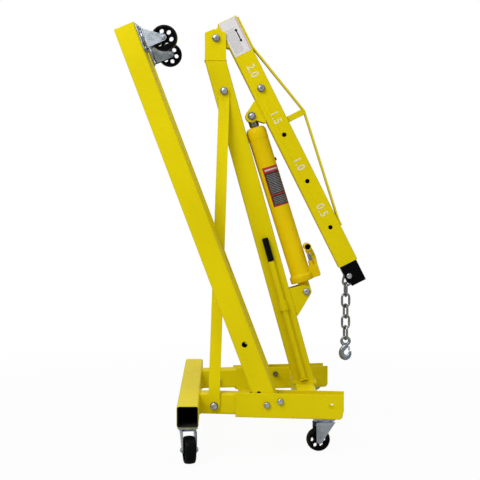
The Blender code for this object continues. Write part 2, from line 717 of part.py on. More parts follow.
def make_braces():
    top = mast_point(BRACE_TOP_Z)
    for side, word in SIDES:
        ahead, out = rail_axes(side)
        off = MAST_WIDTH / 2 + GAP + BRACE_THICK / 2
        foot_off = STUB_WIDTH / 2 + GAP + BRACE_THICK / 2
        foot = rail_point(side, BRACE_FOOT_AT, foot_off, BRACE_FOOT_Z)
        head = Vector((top.x, side * off, BRACE_TOP_Z))
        bend_low = foot + Z * (BASE_Z + CROSS_SIZE + 0.004 - BRACE_FOOT_Z)
        bend_high = head - Z * 0.03
        half = BRACE_WIDTH / 2
        run = (bend_high - bend_low).normalized()
        sections = []

        def station(centre, wide, across_way, thick_way):
            a = across_way * wide
            b = thick_way * (BRACE_THICK / 2)
            sections.append([centre - a - b, centre + a - b, centre + a + b, centre - a + b])

        outward = Y * side
        for t in (75, 50, 25):
            r = math.radians(t)
            station(foot - Z * (half * math.sin(r)), half * math.cos(r), ahead, out)
        station(foot, half, ahead, out)
        station(bend_low, half, ahead, out)
        slope_out = X.cross(run) * -side
        if slope_out.dot(outward) < 0:
            slope_out = -slope_out
        station(bend_low.lerp(bend_high, 0.04), half, (ahead * 0.5 + X * 0.5).normalized(), slope_out)
        station(bend_low.lerp(bend_high, 0.12), half, X, slope_out)
        station(bend_low.lerp(bend_high, 0.97), half, X, slope_out)
        station(bend_high, half, X, outward)
        station(head, half, X, outward)
        for t in (25, 50, 75):
            r = math.radians(t)
            station(head + Z * (half * math.sin(r)), half * math.cos(r), X, outward)
        bar = loft(sections)
        hole = FRAME_BOLT / 2 + BOLT_PLAY
        cut(bar, rod(head - Y * 0.02, head + Y * 0.02, hole, 12))
        cut(bar, rod(foot - out * 0.02, foot + out * 0.02, hole, 12))
        finish(bar, "brace_" + word, YELLOW, foot)
        bolt("brace_foot_bolt_" + word, foot + out * (BRACE_THICK / 2),
             rail_point(side, BRACE_FOOT_AT, -STUB_WIDTH / 2, BRACE_FOOT_Z), FRAME_BOLT, None, 0.002)
    reach = MAST_WIDTH / 2 + GAP + BRACE_THICK
    bolt("brace_top_bolt", top - Y * reach, top + Y * reach, FRAME_BOLT, top, 0.002)


# Boom
PIVOT = Vector((BOOM_PIVOT_X, 0, BOOM_PIVOT_Z))
BOOM_OUT = Vector((math.cos(BOOM_ANGLE), 0, -math.sin(BOOM_ANGLE)))
BOOM_IN = -BOOM_OUT
BOOM_TOP = Vector((math.sin(BOOM_ANGLE), 0, math.cos(BOOM_ANGLE)))
BOOM_END = PIVOT + BOOM_TOP * BOOM_RISE + BOOM_OUT * BOOM_REACH
BOOM_FLANK = (BOOM_END, BOOM_IN, BOOM_TOP, Y)
BRACKET_AT = BOOM_REACH - BRACKET_AHEAD
TRUSS_START = BOOM_REACH - TRUSS_START_AHEAD
LOCK_AT = FIRST_HOLE + 3 * HOLE_PITCH
RAM_PIN = BOOM_END + BOOM_IN * BRACKET_AT - BOOM_TOP * BRACKET_DROP


def boom_point(at, up=0.0, y=0.0):
    """Point on the boom from its open end, off its centre line."""
    return BOOM_END + BOOM_IN * at + BOOM_TOP * up + Y * y


def boom_hole(at, up, size, sides=12):
    return rod(boom_point(at, up, -0.1), boom_point(at, up, 0.1), size / 2, sides)


def make_boom():
    length = BOOM_REACH + BOOM_TAIL
    section = rounded_rect(BOOM_DEPTH, BOOM_WIDTH, BOOM_CORNER, 2)
    inside = (BOOM_DEPTH - 2 * BOOM_WALL, BOOM_WIDTH - 2 * BOOM_WALL)
    bore = rounded_rect(inside[0], inside[1], BOOM_CORNER - BOOM_WALL, 2)
    plane = (BOOM_END, BOOM_TOP, Y, BOOM_IN)
    tube = extrude(section, plane, 0, length)
    cut(tube, extrude(bore, plane, -0.02, length - BOOM_WALL))
    floor = -BOOM_DEPTH / 2
    pin = (BOOM_REACH, -BOOM_RISE)
    ear = [(pin[0] + 0.034, floor + 0.003), (pin[0] - 0.050, floor + 0.003), (pin[0] - 0.050, floor)]
    ear += arc(pin[0], pin[1], EAR_RADIUS, 200, 350, 5)
    ear += [(pin[0] + 0.034, floor)]
    outer = BOOM_WIDTH / 2 - 0.0015
    for y_from in (-outer, outer - EAR_THICK):
        fuse(tube, extrude(ear, BOOM_FLANK, y_from, y_from + EAR_THICK))
    cut(tube, rod(PIVOT - Y * 0.06, PIVOT + Y * 0.06, FRAME_BOLT / 2 + BOLT_PLAY, 12))
    for i in range(3):
        cut(tube, boom_hole(FIRST_HOLE + i * HOLE_PITCH, 0, HOLE_SIZE))
    cut(tube, boom_hole(LOCK_AT, 0, FRAME_BOLT + 2 * BOLT_PLAY))
    finish(tube, "boom_tube", YELLOW, PIVOT)

    half = BOOM_WIDTH / 2
    bolt("boom_lock_bolt", boom_point(LOCK_AT, 0, -half), boom_point(LOCK_AT, 0, half), FRAME_BOLT,
         PIVOT, 0.002)

    # Ram bracket: floor on the underside of the boom, two cheeks and the ends of the ram bolt
    low = floor - GAP
    drop = -BRACKET_DROP
    cheek = [(BRACKET_AT + 0.042, low), (BRACKET_AT + 0.040, low - 0.008)]
    cheek += arc(BRACKET_AT, drop, 0.022, 20, -200, 8)[1:]
    cheek += [(BRACKET_AT - 0.040, low - 0.008), (BRACKET_AT - 0.042, low)]
    wide = BRACKET_GAP / 2 + BRACKET_PLATE
    bracket = extrude(cheek, BOOM_FLANK, -wide, wide)
    space = [(BRACKET_AT + 0.1, low - BRACKET_FLOOR), (BRACKET_AT + 0.1, low - 0.2),
             (BRACKET_AT - 0.1, low - 0.2), (BRACKET_AT - 0.1, low - BRACKET_FLOOR)]
    cut(bracket, extrude(space, BOOM_FLANK, -BRACKET_GAP / 2, BRACKET_GAP / 2))
    for way in (-1, 1):
        start = RAM_PIN + Y * (way * (wide - 0.002))
        fuse(bracket, hexagon(start, RAM_PIN + Y * (way * (wide + 0.010)), 0.021))
    finish(bracket, "boom_ram_bracket", YELLOW, PIVOT)

    # Truss: a bent flat bar over the top of the boom, held off by a strut
    deck = BOOM_DEPTH / 2 + GAP
    high = deck + TRUSS_RISE
    tail = length - 0.006
    bar = [(tail, deck), (TRUSS_START, deck), (TRUSS_APEX, high), (TRUSS_END, deck),
           (TRUSS_END - 0.024, deck)]
    bar += [(TRUSS_END - 0.024, deck + TRUSS_BAR), (TRUSS_END - 0.0005, deck + TRUSS_BAR),
            (TRUSS_APEX, high + TRUSS_BAR), (TRUSS_START + 0.0005, deck + TRUSS_BAR),
            (tail, deck + TRUSS_BAR)]
    truss = extrude(bar, BOOM_FLANK, -TRUSS_WIDTH / 2, TRUSS_WIDTH / 2)
    strut = [(TRUSS_APEX - 0.010, deck), (TRUSS_APEX + 0.010, deck), (TRUSS_APEX + 0.010, high + 0.001),
             (TRUSS_APEX - 0.010, high + 0.001)]
    fuse(truss, extrude(strut, BOOM_FLANK, -TRUSS_WIDTH / 2 + 0.004, TRUSS_WIDTH / 2 - 0.004))
    finish(truss, "boom_truss", YELLOW, PIVOT)


def make_extension():
    deep = BOOM_DEPTH - 2 * BOOM_WALL - 2 * SLIDE_PLAY
    wide = BOOM_WIDTH - 2 * BOOM_WALL - 2 * SLIDE_PLAY
    section = rounded_rect(deep, wide, 0.0045, 2)
    bore = rounded_rect(deep - 2 * EXTENSION_WALL, wide - 2 * EXTENSION_WALL, 0.0015, 2)
    plane = (BOOM_END, BOOM_TOP, Y, BOOM_IN)
    tail = LOCK_AT + EXTENSION_TAIL
    tube = extrude(section, plane, -EXTENSION_OUT, tail, bore)
    room = FRAME_BOLT / 2 + 0.001
    notch = [(tail + 0.01, -room), (tail + 0.01, room)] + arc(LOCK_AT, 0, room, 90, 270, 8)
    cut(tube, extrude(notch, BOOM_FLANK, -0.1, 0.1))
    bottom = -deep / 2
    mouth = [(-EXTENSION_OUT - 0.01, bottom - 0.01), (-0.003, bottom - 0.01),
             (-0.003, bottom + EXTENSION_WALL + 0.006),
             (-EXTENSION_OUT - 0.01, bottom + EXTENSION_WALL + 0.006)]
    cut(tube, extrude(mouth, BOOM_FLANK, -0.0085, 0.0085))
    nick = [(-EXTENSION_OUT - 0.01, bottom - 0.01), (-EXTENSION_OUT + 0.016, bottom - 0.01),
            (-EXTENSION_OUT + 0.012, bottom + 0.007), (-EXTENSION_OUT - 0.01, bottom + 0.007)]
    cut(tube, extrude(nick, BOOM_FLANK, -0.1, 0.1))
    spot = (-CHAIN_BOLT_OUT, -CHAIN_BOLT_DROP)
    cut(tube, boom_hole(spot[0], spot[1], CHAIN_BOLT + 2 * BOLT_PLAY, 12))
    finish(tube, "boom_extension", BLACK, BOOM_END)
    half = wide / 2
    bolt("chain_bolt", boom_point(spot[0], spot[1], -half), boom_point(spot[0], spot[1], half), CHAIN_BOLT,
         BOOM_END)


# Chain and hook
CHAIN_TOP = boom_point(-CHAIN_BOLT_OUT, -CHAIN_BOLT_DROP)


def link(centre, flat):
    """Oval chain link standing in the plane of Z and a flat direction."""
    bend = (LINK_WIDTH - WIRE) / 2
    straight = (LINK_INSIDE + WIRE) / 2 - bend
    loop = []
    for a, b in arc(0, straight, bend, 0, 180, 6) + arc(0, -straight, bend, 180, 360, 6):
        loop.append(centre + flat * a + Z * b)
    return sweep(loop, [WIRE / 2] * len(loop), 6, True, flat.cross(Z))


LINK_REACH = LINK_INSIDE - CHAIN_BOLT / 2 - GAP + WIRE / 2   # chain bolt to the top link's lower wire
HANG = CHAIN_TOP - Vector((math.sin(TOP_LINK_LEAN), 0, math.cos(TOP_LINK_LEAN))) * LINK_REACH


def chain_levels():
    """Centre height of each plumb link, then of the hook eye, hanging from the top link's lower wire."""
    level = HANG.z + WIRE / 2 + LEAN_PLAY - LINK_INSIDE / 2
    levels = [level]
    for i in range(LINK_COUNT - 2):
        level -= LINK_INSIDE - GAP
        levels.append(level)
    levels.append(level - LINK_INSIDE / 2 + WIRE / 2 + GAP - HOOK_EYE)
    return levels


def make_chain():
    # The top link leans on the edge of the extension's slot, and the rest hangs plumb from it
    top = link(CHAIN_TOP + Z * (CHAIN_BOLT / 2 + GAP - LINK_INSIDE / 2), X)
    turn = Matrix.Rotation(TOP_LINK_LEAN, 4, "Y")
    top.data.transform(Matrix.Translation(CHAIN_TOP) @ turn @ Matrix.Translation(-CHAIN_TOP))
    finish(top, "chain_link_1", ZINC, CHAIN_TOP)
    levels = chain_levels()
    bearing = HANG
    for i in range(1, LINK_COUNT):
        level = levels[i - 1]
        body = link(Vector((HANG.x, 0, level)), X if i % 2 == 0 else Y)
        finish(body, "chain_link_%d" % (i + 1), ZINC, bearing)
        bearing = Vector((HANG.x, 0, level - LINK_INSIDE / 2 - WIRE / 2))
    eye = Vector((HANG.x, 0, levels[-1]))
    ring = [eye + X * a + Z * b for a, b in polygon(12, HOOK_EYE)]
    body = sweep(ring, [WIRE / 2] * 12, 6, True, Y)
    path = [(0, -0.013), (-0.001, -0.019), (-0.006, -0.026), (-0.0115, -0.035), (-0.0125, -0.044),
            (-0.0085, -0.0525), (-0.0005, -0.0565), (0.008, -0.0545), (0.0135, -0.048), (0.0155, -0.040),
            (0.0165, -0.036)]
    thick = [0.0045, 0.0058, 0.0066, 0.0072, 0.0077, 0.0080, 0.0078, 0.0070, 0.0058, 0.0046, 0.0030]
    bow = sweep([eye + X * a + Z * b for a, b in path], thick, 8, False, Y)
    fuse(body, bow)
    ear = [(0.002, -0.016), (0.0095, -0.0185), (0.0102, -0.0220), (0.007, -0.025), (0.0, -0.024)]
    plane = (eye, X, Z, Y)
    fuse(body, extrude(ear, plane, -0.0025, 0.0025))
    finish(body, "hook", ZINC, bearing)

    # Safety latch: a folded strip from the ear to inside the hook's tip
    axis = (0.0125, -0.0215)
    strip = [(axis[0] - 0.0015, axis[1] + 0.002), (axis[0] + 0.0015, axis[1] + 0.0015), (0.0145, -0.0325),
             (0.0130, -0.0335), (0.0118, -0.0325), (axis[0] - 0.0014, axis[1] - 0.001)]
    latch = extrude(strip, plane, -0.0045, 0.0045)
    finish(latch, "hook_latch", ZINC, eye + X * axis[0] + Z * axis[1])


# Ram
RAM_FOOT = Vector((RAM_FOOT_X, 0, RAM_FOOT_Z))
RAM_UP = (RAM_PIN - RAM_FOOT).normalized()
RAM_FRONT = Vector((RAM_UP.z, 0, -RAM_UP.x))
RAM_LENGTH = (RAM_PIN - RAM_FOOT).length
RAM_FLANK = (RAM_FOOT, RAM_FRONT, RAM_UP, Y)


def ram_point(front, up, y=0.0):
    return RAM_FOOT + RAM_FRONT * front + RAM_UP * up + Y * y


def make_ram():
    top = RAM_LENGTH - RAM_HEAD_GAP
    r = RAM_RADIUS
    rings = [(RAM_COLLAR - 0.002, RAM_BASE), (RAM_COLLAR, RAM_BASE + 0.002), (RAM_COLLAR, RAM_BASE + 0.020),
             (RAM_COLLAR - 0.003, RAM_BASE + 0.024), (r, RAM_BASE + 0.026), (r, top - 0.014),
             (r - 0.002, top - 0.007), (r - 0.006, top - 0.002), (r - 0.012, top)]
    body = spindle(rings, RAM_FOOT, RAM_UP, 20)
    lug = [(-RAM_LUG, RAM_BASE + 0.004), (-RAM_LUG, 0)] + arc(0, 0, RAM_LUG, 180, 360, 8)[1:]
    lug += [(RAM_LUG, RAM_BASE + 0.004)]
    fuse(body, extrude(lug, RAM_FLANK, -RAM_LUG_WIDTH / 2, RAM_LUG_WIDTH / 2))
    inner, outer = PUMP_BLOCK_FROM, PUMP_BLOCK_OUT
    high = RAM_BASE + PUMP_BLOCK_TALL
    block = [(inner, RAM_BASE + 0.0015), (outer - 0.004, RAM_BASE + 0.0015), (outer, RAM_BASE + 0.006),
             (outer, high - 0.003), (outer - 0.003, high), (inner + 0.010, high), (inner, high - 0.005)]
    fuse(body, extrude(block, RAM_FLANK, -PUMP_BLOCK_WIDTH / 2, PUMP_BLOCK_WIDTH / 2))
    fuse(body, rod(ram_point(PUMP_AT, high - 0.003), ram_point(PUMP_AT, PUMP_TUBE_TOP), PUMP_TUBE, 16))
    ear = [(outer - 0.0095, high - 0.003), (outer - 0.0005, high - 0.003), (FULCRUM_AT + 0.007, FULCRUM_UP)]
    ear += arc(FULCRUM_AT, FULCRUM_UP, 0.007, 0, 180, 6)[1:]
    for y_from in (-EAR_OUT, EAR_OUT - EAR_PLATE):
        fuse(body, extrude(ear, RAM_FLANK, y_from, y_from + EAR_PLATE))
    filler = ram_point(r - 0.004, FILLER_UP)
    fuse(body, rod(filler, filler + RAM_FRONT * 0.0075, 0.0055, 8))
    cut(body, rod(ram_point(0, ROD_FOOT - 0.004), ram_point(0, top + 0.05), ROD_RADIUS + 0.0005, 16))
    cut(body, rod(ram_point(PUMP_AT, 0.060), ram_point(PUMP_AT, 0.15), 0.0063, 12))
    cut(body, rod(ram_point(0, 0, -0.06), ram_point(0, 0, 0.06), FRAME_BOLT / 2 + BOLT_PLAY, 12))
    pin = ram_point(FULCRUM_AT, FULCRUM_UP)
    cut(body, rod(pin - Y * 0.03, pin + Y * 0.03, 0.0038, 12))
    finish(body, "ram_cylinder", RAM_YELLOW, RAM_FOOT)

    piston = spindle([(ROD_RADIUS, ROD_FOOT), (ROD_RADIUS, top + 0.003), (ROD_NECK, top + 0.005),
                      (ROD_NECK, RAM_LENGTH - 0.010)], RAM_FOOT, RAM_UP, 16)
    eye_side = Y * (ROD_EYE_WIDTH / 2)
    fuse(piston, rod(RAM_PIN - eye_side, RAM_PIN + eye_side, ROD_EYE, 20))
    finish(piston, "ram_rod", ZINC, RAM_PIN)

    shaft = [(0.006, 0.062), (0.006, 0.1160), (0.0048, 0.1193), (0.0025, 0.1212), (0.0008, 0.1216)]
    plunger = spindle(shaft, ram_point(PUMP_AT, 0), RAM_UP, 12)
    finish(plunger, "pump_plunger", ZINC, ram_point(PUMP_AT, 0.06))

    arm = [(FULCRUM_AT - 0.007, FULCRUM_UP)] + arc(FULCRUM_AT, FULCRUM_UP, 0.007, 180, 360, 8)[1:]
    arm += [(0.0665, 0.122), (0.0600, 0.148), (0.0400, 0.148), (0.0400, 0.1222), (0.0540, 0.1222)]
    lever = extrude(arm, RAM_FLANK, -0.0105, 0.0105)
    socket = ram_point(SOCKET_AT, SOCKET_UP)
    fuse(lever, rod(socket - Y * 0.044, socket + Y * 0.014, 0.0130, 18))
    cut(lever, rod(socket - Y * 0.06, socket - Y * 0.002, HANDLE_RADIUS + 0.0004, 18))
    fuse(lever, rod(pin - Y * 0.0175, pin + Y * 0.0175, 0.0035, 12))
    finish(lever, "pump_lever", RAM_YELLOW, pin)

    # Foot bracket: back plate on the mast front and two cheeks round the ram lug
    wide = FOOT_PLATE_GAP / 2 + FOOT_BRACKET_PLATE
    front = MAST_DEPTH / 2 + GAP
    back_top = RAM_FOOT_Z + 0.009
    back_low = RAM_FOOT_Z - 0.085
    a = mast_point(back_top, front)
    b = mast_point(back_low, front)
    outline = [(a.x, a.z), (b.x, b.z)]
    outline += [(b.x + 0.004, b.z + 0.001)]
    outline += arc(RAM_FOOT_X, RAM_FOOT_Z, 0.018, -30, 60, 6)
    tip = ram_point(0.0, RAM_BASE - 0.010)
    outline += [(tip.x, tip.z)]
    bracket = extrude(outline, (Vector((0, 0, 0)), X, Z, Y), -wide, wide)
    back = mast_point(RAM_FOOT_Z, front + 0.005)
    space = [(0, -0.3), (0.3, -0.3), (0.3, 0.3), (0, 0.3)]
    cut(bracket, extrude(space, (back, MAST_FRONT, MAST_UP, Y), -FOOT_PLATE_GAP / 2, FOOT_PLATE_GAP / 2))
    cut(bracket, rod(RAM_FOOT - Y * 0.06, RAM_FOOT + Y * 0.06, FRAME_BOLT / 2 + BOLT_PLAY, 12))
    finish(bracket, "ram_foot_bracket", YELLOW, RAM_FOOT)
    bolt("ram_foot_bolt", RAM_FOOT - Y * wide, RAM_FOOT + Y * wide, FRAME_BOLT, RAM_FOOT)


def centre_on_origin():
    """Put the middle of the part's length over the origin."""
    bpy.context.view_layer.update()
    low, high = math.inf, -math.inf
    for obj in STAND.children:
        for vertex in obj.data.vertices:
            x = (obj.matrix_world @ vertex.co).x
            low = min(low, x)
            high = max(high, x)
    STAND.location.x = -(low + high) / 2
    bpy.context.view_layer.update()


make_base()
make_base_casters()
for leg_side, leg_word in SIDES:
    make_leg(leg_side, leg_word)
make_mast()
make_crossmember()
make_head()
make_braces()
make_boom()
make_extension()
make_chain()
make_ram()
centre_on_origin()
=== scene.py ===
"""Looks of the folding engine hoist crane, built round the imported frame.

Metres, +Z up, in the frame of the part: +X is the front and the right-hand side is -Y.
"""
import json
import math
import random

import bmesh
import bpy
from mathutils import Matrix, Vector


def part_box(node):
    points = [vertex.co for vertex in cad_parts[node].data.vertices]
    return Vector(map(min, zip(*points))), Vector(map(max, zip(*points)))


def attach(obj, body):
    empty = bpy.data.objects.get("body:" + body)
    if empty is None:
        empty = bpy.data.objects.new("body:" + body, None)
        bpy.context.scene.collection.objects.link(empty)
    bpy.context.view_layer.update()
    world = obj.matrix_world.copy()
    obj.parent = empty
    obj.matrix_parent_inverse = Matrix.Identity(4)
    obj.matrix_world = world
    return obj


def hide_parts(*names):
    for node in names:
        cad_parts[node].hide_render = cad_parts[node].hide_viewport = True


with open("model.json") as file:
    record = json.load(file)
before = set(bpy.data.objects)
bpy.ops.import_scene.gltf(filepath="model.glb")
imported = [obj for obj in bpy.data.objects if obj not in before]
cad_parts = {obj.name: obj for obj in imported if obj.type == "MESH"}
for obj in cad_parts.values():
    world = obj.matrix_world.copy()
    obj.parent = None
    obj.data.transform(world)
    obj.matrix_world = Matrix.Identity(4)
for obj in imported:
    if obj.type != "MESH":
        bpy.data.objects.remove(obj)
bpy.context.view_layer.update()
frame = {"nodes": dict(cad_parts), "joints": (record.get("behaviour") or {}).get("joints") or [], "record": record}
NODES = frame["nodes"]
JOINTS = {joint["name"]: joint for joint in frame["joints"]}
BODY_OF = {}
for body_name, members in frame["record"]["behaviour"]["bodies"].items():
    for member in members:
        BODY_OF[member] = body_name

X = Vector((1, 0, 0))
Y = Vector((0, 1, 0))
Z = Vector((0, 0, 1))
SIDES = ((-1, "right"), (1, "left"))

# Places that the joints give
PIVOT = Vector(JOINTS["boom_lift"]["pos_m"])
BOOM_OUT = Vector(JOINTS["boom_extend"]["axis"])
BOOM_IN = -BOOM_OUT
BOOM_TOP = Vector((-BOOM_OUT.z, 0, BOOM_OUT.x))
RAM_FOOT = Vector(JOINTS["ram_tilt"]["pos_m"])
RAM_UP = Vector(JOINTS["ram_stroke"]["axis"])
RAM_FRONT = Vector((RAM_UP.z, 0, -RAM_UP.x))
MAST_UP = Vector(JOINTS["handle_lift"]["axis"])
MAST_FRONT = Vector((MAST_UP.z, 0, -MAST_UP.x))
CHAIN_TOP = Vector(JOINTS["chain_hang"]["pos_m"])

# Sizes of the part, from its source or worked out from it
CROSS_SIZE = 0.067
CROSS_WALL = 0.004
BASE_Z = 0.114
SOCKET_Z = 0.107
SOCKET_WIDTH = 0.076
SOCKET_HEIGHT = 0.079
SOCKET_START = 0.122
RAIL_Y = 0.232
SPLAY = math.radians(8.5)
LEG_DEPTH = 0.070
LEG_WIDTH = 0.060
LEG_CORNER = 0.006
LEG_WALL = 0.0035
LEG_LENGTH = 1.305
LEG_LOCK_AT = 0.2058
LEG_LOCK_HOLE = 0.019
LOCK_BOLT_AHEAD = 0.0435
LOCK_BOLT_UP = 0.0125
RAIL_BOLT_HOLE = 0.013
MAST_FOOT_Z = 0.181
MAST_FOOT_X = 0.390
RAM_FOOT_X = 0.3973
BOOM_PIVOT_X = 0.0869
MAST_SIZE = 0.070
BOOM_REACH = 0.8915
BOOM_TAIL = 0.040
BOOM_RISE = 0.0612
BOOM_DEPTH = 0.070
BOOM_WIDTH = 0.057
HOLE_PITCH = 0.1775
FIRST_HOLE = 0.139
BRACKET_AT = 0.6014
BRACKET_SIDE = 0.028
TRUSS_WIDTH = 0.038
TRUSS_APEX = 0.536
TRUSS_END = 0.152
TRUSS_START = 0.812
RAM_LENGTH = 0.6306
RAM_RADIUS = 0.0345
RAM_COLLAR = 0.041
RAM_BASE = 0.035
RAM_HEAD_GAP = 0.040
ROD_RADIUS = 0.015
ROD_EYE = 0.0135
FILLER_UP = 0.467
PUMP_AT = 0.047
FULCRUM_AT = 0.061
FULCRUM_UP = 0.104
LEVER_SOCKET_AT = 0.049
LEVER_SOCKET_UP = 0.146
HANDLE_BORE = 0.0099
HANDLE_LENGTH = 0.418
GRIP_RADIUS = 0.011
GRIP_LENGTH = 0.082
WIRE = 0.008
LINK_INSIDE = 0.0380
LINK_WIDTH = 0.035
HOOK_EYE = 0.0135
AXLE = 0.008
HUB_WIDTH = 0.0365
WHEEL_WIDTH = 0.033
WHEEL_WEB = 0.009
BIG_WHEEL = 0.086
SMALL_WHEEL = 0.075
FORK_CROWN = 0.0123
FORK_OUTER = 0.02225

# Sizes that only the looks have
LEG_LOCK_BORE = 0.0125                # lock hole in the inner wall of a leg
LINK_TWIST = (0, 7, 16, 20, 20, 16)   # degrees by which each hanging link has turned, from the top
PIN_FLATS = 0.0222                    # hexagon of the ram's upper pin, across its flats
PIN_HEAD = 0.0108                     # height of that head off the bracket
HEAVY_WELD = 0.0030                   # radii of the weld runs
WELD = 0.0026
BRACKET_WELD = 0.0024
THIN_WELD = 0.0022
HEAD_WELD = 0.0020

# Camera, from the photograph's vanishing points
CAMERA_AT = (-0.0864, -3.7884, 0.8221)
CAMERA_DOWN = 0.0411
CAMERA_YAW = 0.0198
CAMERA_LENS = 82.19

BOOM_END = PIVOT + BOOM_TOP * BOOM_RISE + BOOM_OUT * BOOM_REACH
CROSS_X = PIVOT.x - BOOM_PIVOT_X
FOOT_X = RAM_FOOT.x - (RAM_FOOT_X - MAST_FOOT_X)


def boom_point(at, up=0.0, y=0.0):
    """Point on the boom from its open end, off its centre line."""
    return BOOM_END + BOOM_IN * at + BOOM_TOP * up + Y * y


def ram_point(front, up, y=0.0):
    """Point on the ram from its foot pin, ahead of its centre line and up along it."""
    return RAM_FOOT + RAM_FRONT * front + RAM_UP * up + Y * y


def rail_point(side, at, off, z):
    """Point on a splayed rail from the cross tube, off its centre line."""
    ahead = Vector((math.cos(SPLAY), side * math.sin(SPLAY), 0))
    out = Vector((-math.sin(SPLAY), side * math.cos(SPLAY), 0))
    return Vector((CROSS_X + CROSS_SIZE / 2, side * RAIL_Y, z)) + ahead * at + out * off


# Materials
class Surface:
    """Node material with short calls for the nodes that the finishes share."""

    def __init__(self, name):
        self.material = bpy.data.materials.new(name)
        self.material.use_nodes = True
        self.tree = self.material.node_tree
        self.shader = self.tree.nodes["Principled BSDF"]
        self.place = self.tree.nodes.new("ShaderNodeTexCoord").outputs["Object"]

    def link(self, source, target):
        self.tree.links.new(source, target)

    def noise(self, scale, detail=3.0, rough=0.5, stretch=None):
        node = self.tree.nodes.new("ShaderNodeTexNoise")
        node.inputs["Scale"].default_value = scale
        node.inputs["Detail"].default_value = detail
        node.inputs["Roughness"].default_value = rough
        place = self.place
        if stretch:
            mapping = self.tree.nodes.new("ShaderNodeMapping")
            mapping.inputs["Scale"].default_value = stretch
            self.link(place, mapping.inputs["Vector"])
            place = mapping.outputs["Vector"]
        self.link(place, node.inputs["Vector"])
        return node.outputs["Fac"]

    def ramp(self, source, stops):
        node = self.tree.nodes.new("ShaderNodeValToRGB")
        ramp = node.color_ramp
        while len(ramp.elements) < len(stops):
            ramp.elements.new(0.5)
        for element, (at, colour) in zip(ramp.elements, stops):
            element.position = at
            element.color = tuple(colour) + (1.0,)
        self.link(source, node.inputs["Fac"])
        return node.outputs["Color"]

    def span(self, source, low, high, start=0.3, end=0.7):
        node = self.tree.nodes.new("ShaderNodeMapRange")
        node.inputs["From Min"].default_value = start
        node.inputs["From Max"].default_value = end
        node.inputs["To Min"].default_value = low
        node.inputs["To Max"].default_value = high
        self.link(source, node.inputs["Value"])
        return node.outputs["Result"]

    def mix(self, factor, first, second, blend="MIX"):
        node = self.tree.nodes.new("ShaderNodeMix")
        node.data_type = "RGBA"
        node.blend_type = blend
        for socket, value in (("Factor_Float", factor), ("A_Color", first), ("B_Color", second)):
            target = next(s for s in node.inputs if s.identifier == socket)
            if isinstance(value, (int, float)):
                target.default_value = value
            elif isinstance(value, tuple):
                target.default_value = value + (1.0,)
            else:
                self.link(value, target)
        return next(s for s in node.outputs if s.identifier == "Result_Color")

    def bump(self, height, strength, distance, under=None):
        node = self.tree.nodes.new("ShaderNodeBump")
        node.inputs["Strength"].default_value = strength
        node.inputs["Distance"].default_value = distance
        self.link(height, node.inputs["Height"])
        if under is not None:
            self.link(under, node.inputs["Normal"])
        return node.outputs["Normal"]

    def set(self, **values):
        for word, value in values.items():
            socket = self.shader.inputs[word.replace("_", " ")]
            if isinstance(value, (int, float)):
                socket.default_value = value
            elif isinstance(value, tuple):
                socket.default_value = value + (1.0,)
            else:
                self.link(value, socket)
        return self.material


def shade(colour, factor):
    return tuple(min(1.0, c * factor) for c in colour)


def powder_coat(name, colour, rough=0.36, peel=0.10):
    """Powder coat: orange peel, slight drift in depth of colour and a few dust nibs."""
    s = Surface(name)
    depths = ((0.30, shade(colour, 0.93)), (0.55, colour), (0.75, shade(colour, 1.05)))
    drift = s.ramp(s.noise(4.0, 4.0), depths)
    grain = s.noise(520.0, 2.0)
    fine = s.ramp(grain, ((0.35, (0.95, 0.95, 0.95)), (0.65, (1.0, 1.0, 1.0))))
    tone = s.mix(0.5, drift, fine, "MULTIPLY")
    peel_normal = s.bump(grain, peel, 0.0006)
    normal = s.bump(s.noise(90.0, 2.0), 0.05, 0.0015, peel_normal)
    gloss = s.span(s.noise(38.0, 4.0), rough - 0.05, rough + 0.09)
    return s.set(Base_Color=tone, Roughness=gloss, Normal=normal, IOR=1.48, Specular_IOR_Level=0.14,
                 Specular_Tint=(1.0, 0.90, 0.30))


def zinc_plate(name, colour=(0.38, 0.42, 0.46), rough=0.33, grain_scale=340.0):
    """Bright zinc: cool grey metal with a cloudy passivated film and fine grain."""
    s = Surface(name)
    clouds = ((0.30, shade(colour, 0.62)), (0.52, colour), (0.72, shade(colour, 1.35)))
    film = s.ramp(s.noise(26.0, 5.0, 0.6), clouds)
    grain = s.noise(grain_scale, 4.0, 0.6)
    fine = s.ramp(grain, ((0.3, (0.70, 0.72, 0.74)), (0.7, (1.0, 1.0, 1.0))))
    tone = s.mix(0.20, film, fine, "MULTIPLY")
    gloss = s.span(s.noise(60.0, 4.0), rough - 0.08, rough + 0.14)
    return s.set(Base_Color=tone, Metallic=1.0, Roughness=gloss, Normal=s.bump(grain, 0.05, 0.0004))


def moulded_black(name, colour=(0.004, 0.004, 0.004), rough=0.42, grain_scale=900.0, depth=0.16):
    """Moulded black: matt skin with a fine grain and faint grey scuffs."""
    s = Surface(name)
    scuff = s.noise(75.0, 6.0, 0.7, (1.0, 1.0, 3.0))
    tone = s.ramp(scuff, ((0.40, colour), (0.66, shade(colour, 1.5)), (0.80, shade(colour, 2.6))))
    return s.set(Base_Color=tone, Roughness=s.span(s.noise(48.0, 4.0), rough - 0.06, rough + 0.14),
                 Normal=s.bump(s.noise(grain_scale, 2.0), depth, 0.0005), Specular_IOR_Level=0.05)


def painted_shade_inside(name):
    """Painted shade inside open tube ends, holes and bores: near black with a faint brown mottle, for the shade
    that falls deep inside them.
    """
    s = Surface(name)
    tone = s.ramp(s.noise(45.0, 6.0, 0.65), ((0.35, (0.006, 0.006, 0.006)), (0.6, (0.013, 0.012, 0.010)),
                                             (0.78, (0.035, 0.024, 0.014))))
    return s.set(Base_Color=tone, Roughness=0.75, Normal=s.bump(s.noise(260.0, 4.0), 0.3, 0.0006))


